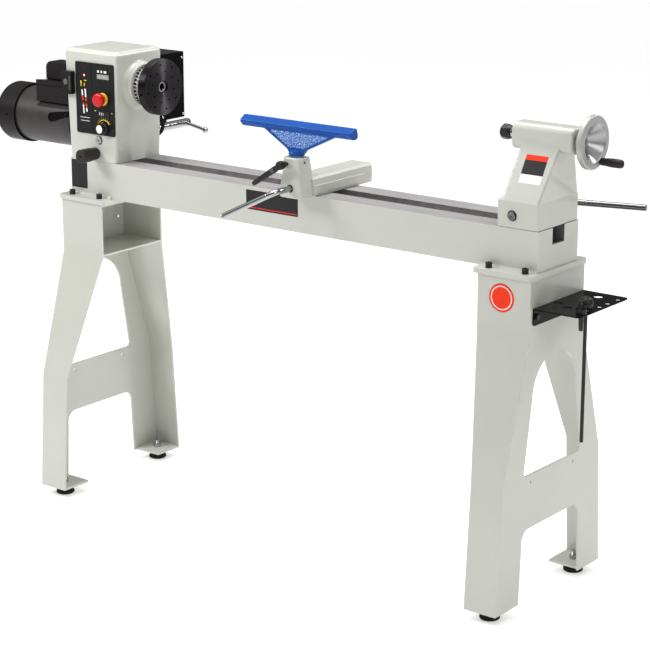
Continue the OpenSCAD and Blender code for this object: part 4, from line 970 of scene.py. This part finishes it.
plate("bed_end_plate", ["plastic"], "stand", "black_plastic", rrect(2, 60, -80, -4, 2, 4), "y", -88.1, -87.5)
plate("bed_front_plate", ["plastic", "red_print"], "stand", "black_plastic", rrect(621, 789, -60, -10, 1.5, 4), "y", -88.1, -87.5,
      more=[(rrect(625, 785, -55.5, -53.5, 0.3, 2), -88.2, -88.0, 1)])
bm = bmesh.new()
revolve(bm, [(0, -119.75), (34, -119.75), (34.4, -118.9), (0, -118.9)], "y", (1418, 0, -160), 96, 0)
revolve(bm, [(26.5, -119.82), (29.0, -119.82), (29.0, -119.6), (26.5, -119.6)], "y", (1418, 0, -160), 96, 1, closed=True)
piece("leg_disc", bm, ["red_print", "white"], None, "stand", "red_plastic")

# plain marks on the control panel: bars, ticks and an arc in the places of its prints
def mark(bm, x0, x1, z0, z1, mi, lean=0.0, h=0.12):
    pts = rrect(x0, x1, z0, z1, min(0.5, 0.3 * min(x1 - x0, z1 - z0)), 2)
    prism(bm, [(x + lean * (z - 160), z) for x, z in pts], "y", -90.5 - h, -90.3, 0, 0, 2, mi)


bm = bmesh.new()
for z0, z1, mi in ((174.5, 190, 0), (161.5, 173, 1), (150.5, 155, 1), (126.5, 149.5, 0)):
    mark(bm, 53.2, 57.8, z0, z1, mi, -0.085)
for z0, z1, mi in ((170.5, 193, 0), (160, 169, 1), (142.5, 153.5, 1), (131.8, 141, 0)):
    mark(bm, 64.6, 69.4, z0, z1, mi, -0.075)
mark(bm, 47.6, 52.2, 206.5, 214, 2)
mark(bm, 49.0, 51.6, 198.5, 206.6, 2)
mark(bm, 60.6, 63.4, 200, 208, 2)
mark(bm, 61.5, 70.5, 214.6, 216.8, 2)
mark(bm, 44.5, 79, 115.0, 116.4, 0)
mark(bm, 45.5, 79, 106.2, 107.6, 0)
for x0, x1 in ((111.2, 117.6), (123.6, 129.4), (135.2, 144.4)):
    mark(bm, x0, x1, 240.8, 246.6, 0)
mark(bm, 96.8, 103, 136.2, 138.4, 2)
mark(bm, 158, 162.6, 134.4, 136.4, 2)
prism(bm, ring(4.2, 32, (62.6, 229.6)), "y", -90.6, -90.3, 0, 0, 2, 1)
prism(bm, ring(2.5, 32, (62.6, 229.6)), "y", -90.7, -90.3, 0, 0, 2, 0)
arc = [math.radians(150 - 118 * i / 28) for i in range(29)]
prism(bm, [(130 + (22.6 + 2.4 * i / 28) * math.cos(w), 92.7 + (22.6 + 2.4 * i / 28) * math.sin(w)) for i, w in enumerate(arc)] +
      [(130 + 21.4 * math.cos(w), 92.7 + 21.4 * math.sin(w)) for w in reversed(arc)], "y", -90.62, -90.3, 0, 0, 2, 2)
for a in range(30, 151, 15):
    w = math.radians(a)
    u, v = Vector((math.cos(w), math.sin(w))), Vector((-math.sin(w), math.cos(w))) * 0.55
    c = Vector((130, 92.7))
    prism(bm, [tuple(c + u * 26.2 - v), tuple(c + u * 28.4 - v), tuple(c + u * 28.4 + v), tuple(c + u * 26.2 + v)], "y", -90.62, -90.3, 0, 0, 2, 2)
# painted shade: a near-black line stands in for the shade in the groove that divides the panel
mark(bm, 89.2, 90.6, 76.5, 260, 3)
mark(bm, 108.2, 152.8, 236.1, 236.9, 4)
mark(bm, 108.2, 152.8, 223.1, 223.9, 4)
mark(bm, 108.2, 108.95, 223.3, 236.7, 4)
mark(bm, 152.05, 152.8, 223.3, 236.7, 4)
piece("panel_marks", bm, ["white", "red_print", "yellow_print", "pit", "grey_plastic"], None, "headstock", "black_plastic")

# label place on the sloping face of the tailstock: three plain bands
sl = Vector((0, 58, 131)).normalized()
nn = Vector((0, -131, 58)).normalized()


def on_slope(x, z, h):
    return Vector((x, -86.5 + 58 * (z - 65) / 131, z)) + nn * h


def band(bm, za, zb, mi, top=0.25):
    e0 = lambda z: 1423.0 + 0.080 * (z - 105)
    e1 = lambda z: 1481.7 + 0.088 * (z - 105)
    lp = [(e0(za), za), (e1(za), za), (e1(zb), zb), (e0(zb), zb)]
    loft(bm, [[on_slope(x, z, -0.1) for x, z in lp], [on_slope(x, z, top - 0.06) for x, z in lp], [on_slope(x, z, top) for x, z in inset(lp, 0.1)]], mi)


bm = bmesh.new()
band(bm, 155.9, 167.6, 1)
band(bm, 124.6, 156.0, 2)
band(bm, 105.0, 124.7, 0)
piece("tailstock_label", bm, ["white", "red_print", "plastic"], None, "tailstock", "black_plastic")

# ------------------------------------------------------------------ floor, light and camera
bm = bmesh.new()
n = 12
vs = [[bm.verts.new((-250 + 500 * i / n, -250 + 500 * j / n, 0)) for j in range(n + 1)] for i in range(n + 1)]
for i in range(n):
    for j in range(n):
        bm.faces.new((vs[i][j], vs[i + 1][j], vs[i + 1][j + 1], vs[i][j + 1]))
M["floor"] = shade("floor", (0.74, 0.74, 0.74), 0.9, var=0.004, var_scale=1.5, spec=0.0)
fb = M["floor"].node_tree.nodes["Principled BSDF"]
fb.inputs["Emission Color"].default_value = (1, 1, 1, 1)
fb.inputs["Emission Strength"].default_value = 0.42
floor = finish_mesh(bm, "floor", ["floor"], metres=True)

w = bpy.data.worlds.new("studio")
scene.world = w
w.use_nodes = True
wt = w.node_tree
wc = nd(wt, "ShaderNodeTexCoord")
ws = nd(wt, "ShaderNodeSeparateXYZ")
wr = nd(wt, "ShaderNodeValToRGB")
wt.links.new(wc.outputs["Generated"], ws.inputs[0])
wt.links.new(ws.outputs["Z"], wr.inputs["Fac"])
for i, (pos, v) in enumerate(((0.0, 0.11), (0.54, 0.13), (0.80, 0.95), (1.0, 2.1))):
    el = wr.color_ramp.elements[i] if i < 2 else wr.color_ramp.elements.new(pos)
    el.position, el.color = pos, (v, v, v, 1)
wt.links.new(wr.outputs["Color"], wt.nodes["Background"].inputs["Color"])
wt.nodes["Background"].inputs["Strength"].default_value = 0.95


def area(name, loc, aim, size, energy):
    la = bpy.data.lights.new(name, "AREA")
    la.shape, la.size, la.energy = "SQUARE", size, energy
    o = bpy.data.objects.new(name, la)
    scene.collection.objects.link(o)
    o.location = loc
    o.rotation_euler = (Vector(aim) - Vector(loc)).to_track_quat("-Z", "Y").to_euler()
    return o


area("key", (-1.95, -1.9, 2.55), (-0.25, 0, 0.95), 1.0, 60)
area("fill", (3.6, -0.8, 2.4), (0.3, 0, 0.9), 1.2, 20)
area("top", (0, 0.2, 3.6), (0, 0, 0.6), 1.4, 64)
area("rear", (1.74, 2.81, 3.0), (-0.4, 0, 1.1), 0.7, 34)
area("bounce", (-0.25, -0.01, 0.71), (-0.68, 0.04, 0.75), 0.12, 0.30).visible_camera = False

cam = bpy.data.cameras.new("camera")
co = bpy.data.objects.new("camera", cam)
scene.collection.objects.link(co)
yaw, pitch, roll = 0.6584515, 0.2704866, 0.0008359
fwd = Vector((-math.sin(yaw) * math.cos(pitch), math.cos(yaw) * math.cos(pitch), -math.sin(pitch)))
rgt = Vector((math.cos(yaw), math.sin(yaw), 0))
upw = rgt.cross(fwd)
cols = (rgt * math.cos(roll) + upw * math.sin(roll), upw * math.cos(roll) - rgt * math.sin(roll), -fwd, OFF + Vector((3.917486, -3.995864, 1.049984)))
co.matrix_world = Matrix([[c[i] for c in cols] for i in range(3)] + [[0, 0, 0, 1]])
cam.lens, cam.sensor_width = 113.5182, 36.0
cam.shift_x, cam.shift_y = -0.0092554, -0.0008395
cam.clip_end = 1500
scene.camera = co
scene.view_settings.view_transform = "Standard"
scene.view_settings.look = "None"
